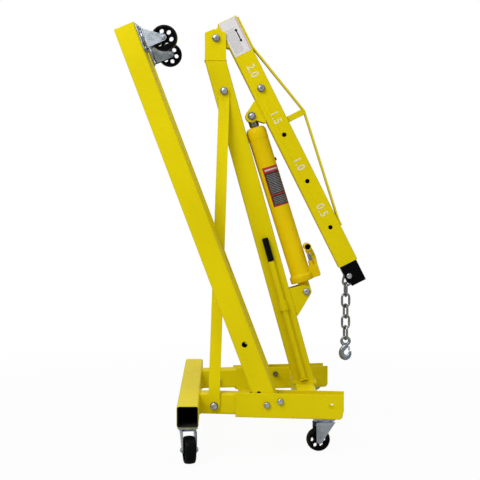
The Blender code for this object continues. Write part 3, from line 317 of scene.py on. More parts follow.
def polished_rod(name):
    """Hard chrome: fine turning marks round the rod."""
    s = Surface(name)
    marks = s.noise(30.0, 3.0, 0.5, (2.0, 2.0, 60.0))
    tone = s.ramp(marks, ((0.3, (0.15, 0.14, 0.13)), (0.7, (0.30, 0.29, 0.28))))
    gloss = s.span(marks, 0.08, 0.2)
    return s.set(Base_Color=tone, Metallic=1.0, Roughness=gloss, Normal=s.bump(marks, 0.04, 0.0004))


def sticker(name, colour, rough=0.34):
    """Printed film: even colour with a slight mottle and small wrinkles."""
    s = Surface(name)
    tone = s.ramp(s.noise(130.0, 3.0), ((0.3, shade(colour, 0.92)), (0.7, colour)))
    return s.set(Base_Color=tone, Roughness=s.span(s.noise(40.0, 3.0), rough - 0.04, rough + 0.08),
                 Normal=s.bump(s.noise(70.0, 3.0), 0.06, 0.0012))


FRAME_YELLOW = (0.745, 0.610, 0.0022)
RAM_YELLOW = (0.735, 0.520, 0.0022)
# Bolt heads take a darker zinc as painted shade, and their crowns a far brighter zinc as a painted highlight.
SHADED_BOLT_ZINC = (0.24, 0.26, 0.29)
HIGHLIGHT_CROWN_ZINC = (0.56, 0.58, 0.62)


# Mesh helpers
def new_object(name, verts, faces):
    mesh = bpy.data.meshes.new(name)
    mesh.from_pydata([tuple(v) for v in verts], [], faces)
    bm = bmesh.new()
    bm.from_mesh(mesh)
    bmesh.ops.recalc_face_normals(bm, faces=bm.faces)
    bm.to_mesh(mesh)
    bm.free()
    obj = bpy.data.objects.new(name, mesh)
    bpy.context.scene.collection.objects.link(obj)
    return obj


def across(axis):
    """Two directions square to an axis, and the axis."""
    axis = axis.normalized()
    other = Z if abs(axis.z) < 0.9 else X
    u = axis.cross(other).normalized()
    return u, axis.cross(u), axis


def arc(cx, cy, radius, start, end, steps):
    """Points on an arc, in degrees."""
    points = []
    for i in range(steps + 1):
        t = math.radians(start + (end - start) * i / steps)
        points.append((cx + radius * math.cos(t), cy + radius * math.sin(t)))
    return points


def rounded_rect(wide, high, corner, steps=4):
    points = []
    for sx, sy, start in ((1, 1, 0), (-1, 1, 90), (-1, -1, 180), (1, -1, 270)):
        points += arc(sx * (wide / 2 - corner), sy * (high / 2 - corner), corner, start, start + 90, steps)
    return points


def lathe(name, profile, origin, axis, sides=48):
    """Turned piece from (radius, height) steps; a radius of 0 closes an end."""
    u, v, w = across(axis)
    verts = []
    rings = []
    faces = []
    for radius, height in profile:
        if radius == 0:
            rings.append([len(verts)])
            verts.append(origin + w * height)
            continue
        rings.append(list(range(len(verts), len(verts) + sides)))
        for i in range(sides):
            t = 2 * math.pi * i / sides
            verts.append(origin + (u * math.cos(t) + v * math.sin(t)) * radius + w * height)
    for low, high in zip(rings, rings[1:]):
        for i in range(sides):
            j = (i + 1) % sides
            if len(low) == 1:
                faces.append((low[0], high[j], high[i]))
            elif len(high) == 1:
                faces.append((low[i], low[j], high[0]))
            else:
                faces.append((low[i], low[j], high[j], high[i]))
    return new_object(name, verts, faces)


def extrude(name, outline, plane, start, end):
    """Outline in the plane (origin, u, v, w), pulled along w."""
    origin, u, v, w = plane
    count = len(outline)
    verts = [origin + u * a + v * b + w * h for h in (start, end) for a, b in outline]
    faces = [tuple(reversed(range(count))), tuple(range(count, 2 * count))]
    for i in range(count):
        j = (i + 1) % count
        faces.append((i, j, count + j, count + i))
    return new_object(name, verts, faces)


def sweep(name, path, radii, sides, closed, normal):
    """Round bar along a flat path, with one radius for each point."""
    count = len(path)
    verts = []
    faces = []
    for i, point in enumerate(path):
        before = path[i - 1] if closed or i else point
        after = path[(i + 1) % count] if closed or i < count - 1 else point
        side = normal.cross((after - before).normalized()).normalized()
        for k in range(sides):
            t = 2 * math.pi * k / sides
            verts.append(point + (side * math.cos(t) + normal * math.sin(t)) * radii[i])
    for i in range(count if closed else count - 1):
        j = (i + 1) % count
        for k in range(sides):
            m = (k + 1) % sides
            faces.append((i * sides + k, i * sides + m, j * sides + m, j * sides + k))
    if not closed:
        faces.append(tuple(range(sides)))
        faces.append(tuple(range((count - 1) * sides, count * sides)))
    return new_object(name, verts, faces)


def curve_through(points, steps):
    """Smooth points through a few chosen ones."""
    count = len(points)
    path = []
    for i in range(count - 1):
        p = [points[min(max(i + k, 0), count - 1)] for k in (-1, 0, 1, 2)]
        for s in range(steps):
            t = s / steps
            a = p[1] * 2 + (p[2] - p[0]) * t
            b = (p[0] * 2 - p[1] * 5 + p[2] * 4 - p[3]) * t ** 2
            c = (p[1] * 3 - p[0] - p[2] * 3 + p[3]) * t ** 3
            path.append((a + b + c) / 2)
    path.append(points[-1])
    return path


def join(first, *others):
    """Several closed bodies as one piece."""
    bm = bmesh.new()
    for obj in (first,) + others:
        bm.from_mesh(obj.data)
    bm.to_mesh(first.data)
    bm.free()
    for obj in others:
        bpy.data.objects.remove(obj, do_unlink=True)
    return first


def bake_modifiers(obj):
    graph = bpy.context.evaluated_depsgraph_get()
    mesh = bpy.data.meshes.new_from_object(obj.evaluated_get(graph))
    obj.modifiers.clear()
    obj.data = mesh
    return obj


def soften(obj, width, segments=2):
    """Round the edges of a piece, and keep its flats flat to the light."""
    bevel = obj.modifiers.new("edges", "BEVEL")
    bevel.width = width
    bevel.segments = segments
    bevel.limit_method = "ANGLE"
    bevel.angle_limit = math.radians(28)
    bevel.use_clamp_overlap = False
    bevel.miter_outer = "MITER_ARC"
    flats = obj.modifiers.new("flats", "WEIGHTED_NORMAL")
    flats.keep_sharp = False
    obj.data.shade_smooth()
    return bake_modifiers(obj)


def smooth(obj, angle):
    """Shade a piece smooth, apart from edges sharper than the angle."""
    obj.data.shade_smooth()
    obj.data.set_sharp_from_angle(angle=math.radians(angle))
    return obj


def cut(obj, *tools):
    for tool in tools:
        modifier = obj.modifiers.new("cut", "BOOLEAN")
        modifier.operation = "DIFFERENCE"
        modifier.solver = "EXACT"
        modifier.object = tool
        bake_modifiers(obj)
        bpy.data.objects.remove(tool, do_unlink=True)
    return obj


def paint(obj, *materials):
    obj.data.materials.clear()
    for material in materials:
        obj.data.materials.append(material)
    return obj


def stands_for(obj, node):
    """A piece that shows in place of a CAD node, on the same body."""
    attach(obj, BODY_OF[node])
    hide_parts(node)
    return obj


def adds_to(obj, node):
    """A piece of detail on a CAD node."""
    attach(obj, BODY_OF[node])
    return obj


def refined(node, width):
    """Copy of a CAD node with round edges."""
    obj = bpy.data.objects.new(node + "_shell", NODES[node].data.copy())
    bpy.context.scene.collection.objects.link(obj)
    bm = bmesh.new()
    bm.from_mesh(obj.data)
    bmesh.ops.remove_doubles(bm, verts=bm.verts, dist=0.00001)
    if node != "boom_tube":
        bmesh.ops.dissolve_limit(bm, angle_limit=math.radians(0.5), verts=bm.verts, edges=bm.edges)
    bm.to_mesh(obj.data)
    bm.free()
    return soften(obj, width)


# Finishes shared by kinds of node
def finish_for(node):
    if node in ("ram_cylinder", "pump_lever"):
        return powder_coat(node + "_paint", RAM_YELLOW, 0.28, 0.14)
    if node == "boom_extension":
        return moulded_black(node + "_paint", (0.0012, 0.0012, 0.0012), 0.40, 600.0, 0.08)
    if "bolt" in node:
        return zinc_plate(node + "_plating", SHADED_BOLT_ZINC, 0.26)
    if "caster" in node or node == "pump_plunger":
        return zinc_plate(node + "_plating")
    if node == "ram_rod":
        return polished_rod(node + "_chrome")
    return powder_coat(node + "_paint", FRAME_YELLOW)


EDGE = {"rear_cross_tube": 0.0012, "mast": 0.0012, "boom_tube": 0.0010, "boom_extension": 0.0008}
REBUILT_NODES = ["ram_cylinder", "ram_rod", "pump_plunger", "pump_handle", "handle_grip"]
REBUILT_NODES += ["hook", "hook_latch", "leg_right", "leg_left"]
REBUILT_NODES += ["chain_link_%d" % i for i in range(1, 7)]
REBUILT_NODES += [node for node in NODES if "_wheel_" in node]


def dress_plain_nodes():
    """Every node that keeps its shape gets round edges and its finish."""
    for node in sorted(NODES):
        if node in REBUILT_NODES:
            continue
        small = "bolt" in node or "caster" in node or node == "pump_lever"
        obj = refined(node, EDGE.get(node, 0.0004 if small else 0.0008))
        paint(obj, finish_for(node))
        stands_for(obj, node)
        if node == "rear_cross_tube":
            # The open cross tube gets painted shade on its inside faces.
            paint_shade_inside(obj)
        if node.split("_")[-1] == "bolt" or "_bolt_" in node:
            crown_bolt(node)


def crown_bolt(node):
    """Low dome on the head of a bolt, as forged heads have."""
    axis = Y
    for side, word in SIDES:
        if node.endswith("_" + word):
            axis = Vector((-math.sin(SPLAY), side * math.cos(SPLAY), 0))
    points = [vertex.co for vertex in NODES[node].data.vertices]
    middle = sum(points, Vector()) / len(points)
    heights = [(point - middle).dot(axis) for point in points]
    tops = []
    for way, height in ((1, max(heights)), (-1, -min(heights))):
        face = [p for p, h in zip(points, heights) if way * h > height - 0.0002]
        centre = sum(face, Vector()) / len(face)
        tops.append((max((p - centre).length for p in face), way, centre))
    radius, way, centre = max(tops, key=lambda top: top[0])
    adds_to(crown_on(node, centre, axis * way, radius), node)


def crown_on(name, centre, axis, radius):
    """Plated dome on a flat round or hexagon head, in a far brighter zinc than the head: a painted highlight."""
    r = 0.80 * radius
    high = 0.20 * radius
    dome = [(0, -0.0004), (r, -0.0004), (r, 0.1 * high), (0.9 * r, 0.45 * high), (0.7 * r, 0.75 * high),
            (0.4 * r, 0.94 * high), (0, high)]
    crown = smooth(lathe(name + "_crown", dome, centre, axis, 28), 50)
    return paint(crown, zinc_plate(name + "_crown_plating", HIGHLIGHT_CROWN_ZINC, 0.30))


def dress_legs():
    """Legs with round feet, round holes for their bolts and painted shade on their inside faces."""
    foot = LEG_DEPTH / 2
    for side, word in SIDES:
        node = "leg_" + word
        pivot = Vector(JOINTS["leg_fold_" + word]["pos_m"])
        front = -Vector(JOINTS["leg_caster_swivel_" + word]["axis"])
        out = Vector((-math.sin(SPLAY), side * math.cos(SPLAY), 0))
        along = out.cross(front) * -side
        plane = (pivot, front, out, along)
        outline = rounded_rect(LEG_DEPTH, LEG_WIDTH, LEG_CORNER, 4)
        leg = extrude(node + "_tube", outline, plane, -foot - 0.01, LEG_LENGTH)
        inner = LEG_CORNER - LEG_WALL
        bore = rounded_rect(LEG_DEPTH - 2 * LEG_WALL, LEG_WIDTH - 2 * LEG_WALL, inner, 4)
        cut(leg, extrude("bore", bore, plane, -foot - 0.02, LEG_LENGTH - LEG_WALL))
        toe = [(0, -LEG_DEPTH), (-LEG_DEPTH, -LEG_DEPTH), (-LEG_DEPTH, LEG_DEPTH), (0, LEG_DEPTH)]
        toe += arc(0, 0, foot, 90, 270, 24)
        cut(leg, extrude("toe", toe, (pivot, along, front, out), -0.05, 0.05))
        down = pivot + along * LOCK_BOLT_AHEAD - front * LOCK_BOLT_UP
        lock = pivot + along * LEG_LOCK_AT
        holes = ((pivot, RAIL_BOLT_HOLE, -0.05), (down, RAIL_BOLT_HOLE, -0.05), (lock, LEG_LOCK_HOLE, 0.0),
                 (lock, LEG_LOCK_BORE, -0.05))
        for spot, size, start in holes:
            drill = [(0, start), (size / 2, start), (size / 2, 0.05), (0, 0.05)]
            cut(leg, lathe("drill", drill, spot, out, 28))
        soften(leg, 0.0008)
        # The second slot is painted shade, for the faces inside the leg tube.
        paint(leg, finish_for(node), painted_shade_inside(node + "_inside"))
        for face in leg.data.polygons:
            off = face.center - pivot
            deep = abs(off.dot(front)) < LEG_DEPTH / 2 - 0.6 * LEG_WALL
            if deep and abs(off.dot(out)) < LEG_WIDTH / 2 - 0.6 * LEG_WALL:
                face.material_index = 1
        stands_for(leg, node)


def paint_shade_inside(tube):
    """Painted shade on the inside faces of the open cross tube."""
    tube.data.materials.append(painted_shade_inside("rear_cross_tube_painted_shade"))
    reach = CROSS_SIZE / 2 - 0.6 * CROSS_WALL
    middle = BASE_Z + CROSS_SIZE / 2
    for face in tube.data.polygons:
        off_x = abs(face.center.x - CROSS_X)
        off_z = abs(face.center.z - middle)
        if max(off_x, off_z) < reach:
            face.material_index = 1


# Chain and hook
def dress_chain():
    below = ["chain_swing_%d" % i for i in range(2, 7)] + ["hook_swing"]
    bend = (LINK_WIDTH - WIRE) / 2
    straight = (LINK_INSIDE + WIRE) / 2 - bend
    for i in range(1, 7):
        node = "chain_link_%d" % i
        foot = Vector(JOINTS[below[i - 1]]["pos_m"])
        up = (CHAIN_TOP - foot).normalized() if i == 1 else Z
        centre = foot + up * ((LINK_INSIDE + WIRE) / 2)
        flat = Matrix.Rotation(math.radians(LINK_TWIST[i - 1]), 3, up) @ (Y.cross(up) if i % 2 else Y)
        loop = arc(0, straight, bend, 0, 180, 14)
        loop += [(-bend, straight - straight * 0.25 * k) for k in range(1, 8)]
        loop += arc(0, -straight, bend, 180, 360, 14)
        loop += [(bend, -straight + straight * 0.25 * k) for k in range(1, 8)]
        path = [centre + flat * a + up * b for a, b in loop]
        radii = []
        for a, b in loop:
            seam = max(0.0, 1 - abs(b) / 0.003) if a > 0 else 0.0
            side = max(0.0, 1 - abs(b) / straight)
            radii.append(WIRE / 2 * (0.985 + 0.10 * seam + 0.06 * side))
        obj = smooth(sweep("link_%d" % i, path, radii, 16, True, flat.cross(up)), 80)
        paint(obj, zinc_plate(node + "_plating", (0.29, 0.31, 0.33), 0.24))
        stands_for(obj, node)


def dress_hook():
    bearing = Vector(JOINTS["hook_swing"]["pos_m"])
    eye = Vector((bearing.x, 0, bearing.z + WIRE + 0.0003 - HOOK_EYE))
    ring = [eye + X * a + Z * b for a, b in arc(0, 0, HOOK_EYE, 0, 360, 36)[:-1]]
    stout = [0.0011 * (1 - math.sin(math.radians(10 * i))) for i in range(36)]
    body = sweep("hook_body", ring, [WIRE / 2 + more for more in stout], 16, True, Y)
    path = [(0, -0.0135), (-0.0015, -0.0195), (-0.0075, -0.0265), (-0.0130, -0.0350), (-0.0140, -0.0445),
            (-0.0095, -0.0540), (-0.0005, -0.0585), (0.0085, -0.0560), (0.0142, -0.0488), (0.0160, -0.0400),
            (0.0168, -0.0360)]
    thick = [0.0076, 0.0090, 0.0092, 0.0090, 0.0092, 0.0100, 0.0098, 0.0084, 0.0066, 0.0052, 0.0038]
    chosen = [Vector((a, b, r)) for (a, b), r in zip(path, thick)]
    fine = curve_through(chosen, 5)
    points = [eye + X * p.x + Z * p.y for p in fine]
    bow = sweep("bow", points, [p.z for p in fine], 20, False, Y)
    bow.data.transform(Matrix.Diagonal((1.0, 0.82, 1.0, 1.0)))
    ear = [(0.002, -0.016), (0.0095, -0.0185), (0.0102, -0.0220), (0.007, -0.025), (0.0, -0.024)]
    lug = soften(extrude("ear", ear, (eye, X, Z, Y), -0.0025, 0.0025), 0.0008)
    join(body, bow, lug)
    smooth(body, 60)
    paint(body, zinc_plate("hook_plating", (0.29, 0.33, 0.39), 0.30, 260.0))
    stands_for(body, "hook")

    strip = [(0.0110, -0.0195), (0.0140, -0.0200), (0.0146, -0.0325), (0.0130, -0.0340), (0.0104, -0.0332),
             (0.0097, -0.0300), (0.0112, -0.0265), (0.0111, -0.0225)]
    latch = soften(extrude("latch_strip", strip, (eye, X, Z, Y), -0.0045, 0.0045), 0.0006)
    paint(latch, zinc_plate("hook_latch_plating", (0.22, 0.24, 0.27), 0.30))
    stands_for(latch, "hook_latch")


# Casters
def wheel_mesh(name, radius):
    """Solid wheel about the Z axis: crowned tread, thin web with six round holes, and a hub."""
    half = WHEEL_WIDTH / 2
    web = WHEEL_WEB / 2
    rim = radius - 0.010
    bore = AXLE / 2 + 0.0005
    hub = HUB_WIDTH / 2
    side = [(bore, hub), (0.0100, hub), (0.0110, hub - 0.0010), (0.0120, web + 0.0015), (0.0135, web),
            (rim - 0.0015, web), (rim, web + 0.0012), (rim + 0.0010, half - 0.0012), (rim + 0.0022, half),
            (radius - 0.0045, half), (radius - 0.0028, half - 0.0010), (radius - 0.0016, half - 0.0035)]
    crown = [(radius - 0.0005, 0.006), (radius, 0.0)]
    upper = side + crown
    profile = upper + [(r, -h) for r, h in reversed(upper[:-1])] + [upper[0]]
    wheel = lathe(name, profile, Vector((0, 0, 0)), Z, 72)
    bm = bmesh.new()
    bm.from_mesh(wheel.data)
    bmesh.ops.remove_doubles(bm, verts=bm.verts, dist=0.000001)
    bmesh.ops.recalc_face_normals(bm, faces=bm.faces)
    bm.to_mesh(wheel.data)
    bm.free()
    ring = 0.55 * radius
    hole = 0.175 * radius
    drill = [(0, -0.03), (hole, -0.03), (hole, 0.03), (0, 0.03)]
    for i in range(6):
        t = math.pi / 6 + i * math.pi / 3
        spot = Vector((ring * math.cos(t), ring * math.sin(t), 0))
        cut(wheel, lathe("drill", drill, spot, Z, 28))
    return smooth(wheel, 38)


def dress_casters():
    for kind in ("leg_caster", "rear_caster", "socket_caster"):
        for _, word in SIDES:
            swivel = JOINTS["%s_swivel_%s" % (kind, word)]
            roll = JOINTS["%s_roll_%s" % (kind, word)]
            seat = Vector(swivel["pos_m"])
            down = -Vector(swivel["axis"])
            axle = Vector(roll["pos_m"])
            dress_wheel(kind, word, down, axle, Vector(roll["axis"]))
            dress_race(kind, word, seat, down)
            dress_fork(kind, word, seat, down, axle)


def dress_wheel(kind, word, down, axle, axis):
    node = "%s_wheel_%s" % (kind, word)
    size = SMALL_WHEEL if kind == "socket_caster" else BIG_WHEEL
    wheel = wheel_mesh(node + "_disc", size / 2)
    turn = Matrix((down, axis.cross(down), axis)).transposed().to_4x4()
    wheel.data.transform(Matrix.Translation(axle) @ turn)
    paint(wheel, moulded_black(node + "_skin", (0.0018, 0.0018, 0.0018), 0.34, 800.0, 0.10))
    stands_for(wheel, node)


def dress_race(kind, word, seat, down):
    """Pressed ring round the ball race, between plate and fork."""
    node = "%s_plate_%s" % (kind, word)
    profile = [(0.0262, 0.0045), (0.0274, 0.0050), (0.0280, 0.0062), (0.0276, 0.0075), (0.0264, 0.0082),
               (0.0258, 0.0064), (0.0262, 0.0045)]
    ring = smooth(lathe(node + "_race", profile, seat, down, 48), 50)
    paint(ring, zinc_plate(node + "_race_plating", (0.50, 0.51, 0.52), 0.26))
    adds_to(ring, node)


def dress_fork(kind, word, seat, down, axle):
    """Pressed outer face of each fork cheek, which spreads towards the race."""
    node = "%s_fork_%s" % (kind, word)
    hub = (axle - seat).dot(down)
    behind = axle - seat - down * hub
    trail = behind.length
    behind.normalize()
    side = behind.cross(down)
    outline = [(-0.030, FORK_CROWN + 0.001), (trail + 0.0125, FORK_CROWN + 0.001)]
    outline += arc(trail, hub, 0.0113, 0, 180, 16)
    faces = []
    for way in (-1, 1):
        plane = (seat, behind, down, side * way)
        cheek = extrude("cheek", outline, plane, FORK_OUTER - 0.0016, FORK_OUTER + 0.0003)
        faces.append(soften(cheek, 0.0005))
    cheeks = join(*faces)
    cheeks.name = node + "_cheeks"
    paint(cheeks, zinc_plate(node + "_cheek_plating"))
    adds_to(cheeks, node)


# Ram and pump
def dress_ram():
    top = RAM_LENGTH - RAM_HEAD_GAP
    r = RAM_RADIUS
    c = RAM_COLLAR
    barrel = [(0, RAM_BASE), (c - 0.003, RAM_BASE), (c - 0.0008, RAM_BASE + 0.0008), (c, RAM_BASE + 0.003),
              (c, RAM_BASE + 0.0195), (c - 0.0006, RAM_BASE + 0.0215), (c - 0.003, RAM_BASE + 0.0235),
              (r + 0.0028, RAM_BASE + 0.0245), (r + 0.0012, RAM_BASE + 0.0265), (r, RAM_BASE + 0.0290),
              (r, top - 0.0420), (r + 0.0007, top - 0.0414), (r + 0.0007, top - 0.0150), (r, top - 0.0130),
              (r - 0.0012, top - 0.0085), (r - 0.0035, top - 0.0045), (r - 0.0070, top - 0.0018),
              (r - 0.0115, top), (ROD_RADIUS + 0.0012, top), (ROD_RADIUS + 0.0004, top - 0.0008),
              (ROD_RADIUS + 0.0004, top - 0.020), (0, top - 0.020)]
    body = lathe("ram_body", barrel, RAM_FOOT, RAM_UP, 64)
    smooth(body, 40)
    flank = (RAM_FOOT, RAM_FRONT, RAM_UP, Y)
    lug = [(-0.018, RAM_BASE + 0.004), (-0.018, 0)] + arc(0, 0, 0.018, 180, 360, 20)[1:]
    lug += [(0.018, RAM_BASE + 0.004)]
    pieces = [soften(extrude("lug", lug, flank, -0.021, 0.021), 0.0012)]
    block = [(0.020, RAM_BASE + 0.0015), (0.062, RAM_BASE + 0.0015), (0.066, RAM_BASE + 0.006),
             (0.066, RAM_BASE + 0.040), (0.063, RAM_BASE + 0.043), (0.030, RAM_BASE + 0.043),
             (0.020, RAM_BASE + 0.038)]
    pieces.append(soften(extrude("block", block, flank, -0.0165, 0.0165), 0.0022, 3))
    neck = [(0, RAM_BASE + 0.040), (0.0110, RAM_BASE + 0.040), (0.0110, RAM_BASE + 0.0455),
            (0.0095, RAM_BASE + 0.0470), (0.0095, 0.0935), (0.0085, 0.0950), (0.0063, 0.0950),
            (0.0063, 0.0750), (0, 0.0750)]
    pieces.append(smooth(lathe("neck", neck, ram_point(PUMP_AT, 0), RAM_UP, 32), 40))
    ear = [(0.0565, RAM_BASE + 0.040), (0.0655, RAM_BASE + 0.040), (0.0680, FULCRUM_UP)]
    ear += arc(FULCRUM_AT, FULCRUM_UP, 0.007, 0, 180, 14)[1:]
    for y_from in (-0.0155, 0.0115):
        pieces.append(soften(extrude("ear", ear, flank, y_from, y_from + 0.004), 0.0006))
    join(body, *pieces)
    paint(body, finish_for("ram_cylinder"))
    stands_for(body, "ram_cylinder")

    filler = [(0, 0.0), (0.0070, 0.0), (0.0070, 0.0022), (0.0060, 0.0030), (0.0056, 0.0030),
              (0.0056, 0.0066), (0.0048, 0.0074), (0, 0.0074)]
    plug = smooth(lathe("filler_plug", filler, ram_point(r - 0.0030, FILLER_UP), RAM_FRONT, 28), 40)
    paint(plug, moulded_black("filler_plug_skin", (0.020, 0.018, 0.017)))
    adds_to(plug, "ram_cylinder")

    rod = [(0, 0.086), (ROD_RADIUS, 0.086), (ROD_RADIUS, top + 0.0030), (0.0165, top + 0.0042),
           (0.0170, top + 0.0055), (0.0170, RAM_LENGTH - 0.010), (0, RAM_LENGTH - 0.010)]
    piston = smooth(lathe("piston_rod", rod, RAM_FOOT, RAM_UP, 48), 40)
    e = ROD_EYE
    eye = [(0, -0.018), (e - 0.0012, -0.018), (e, -0.0168), (e, 0.0168), (e - 0.0012, 0.018), (0, 0.018)]
    pin = RAM_FOOT + RAM_UP * RAM_LENGTH
    join(piston, smooth(lathe("eye", eye, pin, Y, 48), 40))
    paint(piston, finish_for("ram_rod"))
    stands_for(piston, "ram_rod")

    for way, word in SIDES:
        seat = pin + Y * (way * BRACKET_SIDE)
        washer = [(0, 0.0002), (0.0136, 0.0002), (0.0140, 0.0006), (0.0140, 0.0016), (0.0136, 0.0020),
                  (0, 0.0020)]
        cap = smooth(lathe("ram_pin_washer_" + word, washer, seat, Y * way, 40), 40)
        point = PIN_FLATS / math.sqrt(3)
        head = [(0, 0.0018), (point, 0.0018), (point, 0.0095), (0.88 * point, PIN_HEAD), (0, PIN_HEAD)]
        join(cap, soften(lathe("head", head, seat, Y * way, 6), 0.0004))
        paint(cap, zinc_plate("ram_pin_plating_" + word, SHADED_BOLT_ZINC, 0.26))
        adds_to(cap, "boom_ram_bracket")
        crown = crown_on("ram_pin_" + word, seat + Y * (way * PIN_HEAD), Y * way, 0.0110)
        adds_to(crown, "boom_ram_bracket")

    stem = [(0, 0.062), (0.006, 0.062), (0.006, 0.1145), (0.0056, 0.1168), (0.0046, 0.1193),
            (0.0025, 0.1212), (0.0008, 0.1216), (0, 0.1216)]
    plunger = smooth(lathe("plunger_stem", stem, ram_point(PUMP_AT, 0), RAM_UP, 32), 50)
    paint(plunger, finish_for("pump_plunger"))
    stands_for(plunger, "pump_plunger")


def dress_socket():
    """Dark lining in the pump lever's socket, where the handle goes: a near-black cup of painted shade in the
    bore.
    """
    r = HANDLE_BORE - 0.0002
    cup = [(0, 0.0002), (r, 0.0002), (r, 0.0405), (r - 0.0006, 0.0410), (r - 0.0008, 0.0405),
           (r - 0.0008, 0.0010), (0, 0.0010)]
    floor = ram_point(LEVER_SOCKET_AT, LEVER_SOCKET_UP, -0.002)
    lining = smooth(lathe("socket_lining", cup, floor, -Y, 36), 40)
    paint(lining, painted_shade_inside("socket_painted_shade"))
    adds_to(lining, "pump_lever")


def dress_handle():
    foot_low, foot_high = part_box("pump_handle")
    radius = (foot_high.y - foot_low.y) / 2
    middle = (foot_low + foot_high) / 2
    foot = middle - MAST_UP * (HANDLE_LENGTH / 2)
    bar = [(0, 0), (radius - 0.0012, 0), (radius, 0.0012), (radius, HANDLE_LENGTH), (0, HANDLE_LENGTH)]
    tube = smooth(lathe("handle_tube", bar, foot, MAST_UP, 40), 40)
    paint(tube, finish_for("pump_handle"))
    stands_for(tube, "pump_handle")

    r = GRIP_RADIUS
    start = HANDLE_LENGTH + 0.0003
    end = start + GRIP_LENGTH
    profile = [(0, start), (r - 0.0010, start), (r, start + 0.0020)]
    ribs = 11
    for i in range(ribs):
        at = start + 0.008 + i * 0.0058
        profile += [(r, at), (r - 0.0008, at + 0.0006), (r - 0.0008, at + 0.0020), (r, at + 0.0026)]
    profile += [(r, end - 0.0040), (r - 0.0010, end - 0.0014), (r - 0.0032, end), (0, end)]
    grip = smooth(lathe("grip_sleeve", profile, foot, MAST_UP, 40), 45)
    paint(grip, moulded_black("handle_grip_skin", (0.004, 0.004, 0.004), 0.5))
    stands_for(grip, "handle_grip")


# Welds
def weld(name, corners, size, node, closed=True):
    """Run of overlapping weld ripples along straight stretches, painted with the frame."""
    points = []
    count = len(corners)
    for i in range(count if closed else count - 1):
        a = corners[i]
        b = corners[(i + 1) % count]
        steps = max(2, int((b - a).length / 0.0016))
        points += [a.lerp(b, k / steps) for k in range(steps)]
    if not closed:
        points.append(corners[-1])
    rng = random.Random(name)
    verts = []
    faces = []
    sides = 8
    total = len(points)
    for i, point in enumerate(points):
        before = points[i - 1] if closed or i else point
        after = points[(i + 1) % total] if closed or i < total - 1 else point
        along = (after - before).normalized()
        u, v = across(along)[:2]
        ripple = 0.88 + 0.16 * abs(math.sin(math.pi * i / 2.6)) + rng.uniform(-0.03, 0.03)
        fade = 1.0 if closed else min(1.0, 0.45 + 0.2 * min(i, total - 1 - i))
        for k in range(sides):
            t = 2 * math.pi * k / sides
            verts.append(point + (u * math.cos(t) + v * math.sin(t)) * (size * ripple * fade))
    for i in range(total if closed else total - 1):
        j = (i + 1) % total
        for k in range(sides):
            m = (k + 1) % sides
            faces.append((i * sides + k, i * sides + m, j * sides + m, j * sides + k))
    if not closed:
        faces.append(tuple(range(sides)))
        faces.append(tuple(range((total - 1) * sides, total * sides)))
    obj = smooth(new_object(name, verts, faces), 70)
    paint(obj, powder_coat(name + "_paint", shade(FRAME_YELLOW, 0.96), 0.34, 0.2))
    adds_to(obj, node)


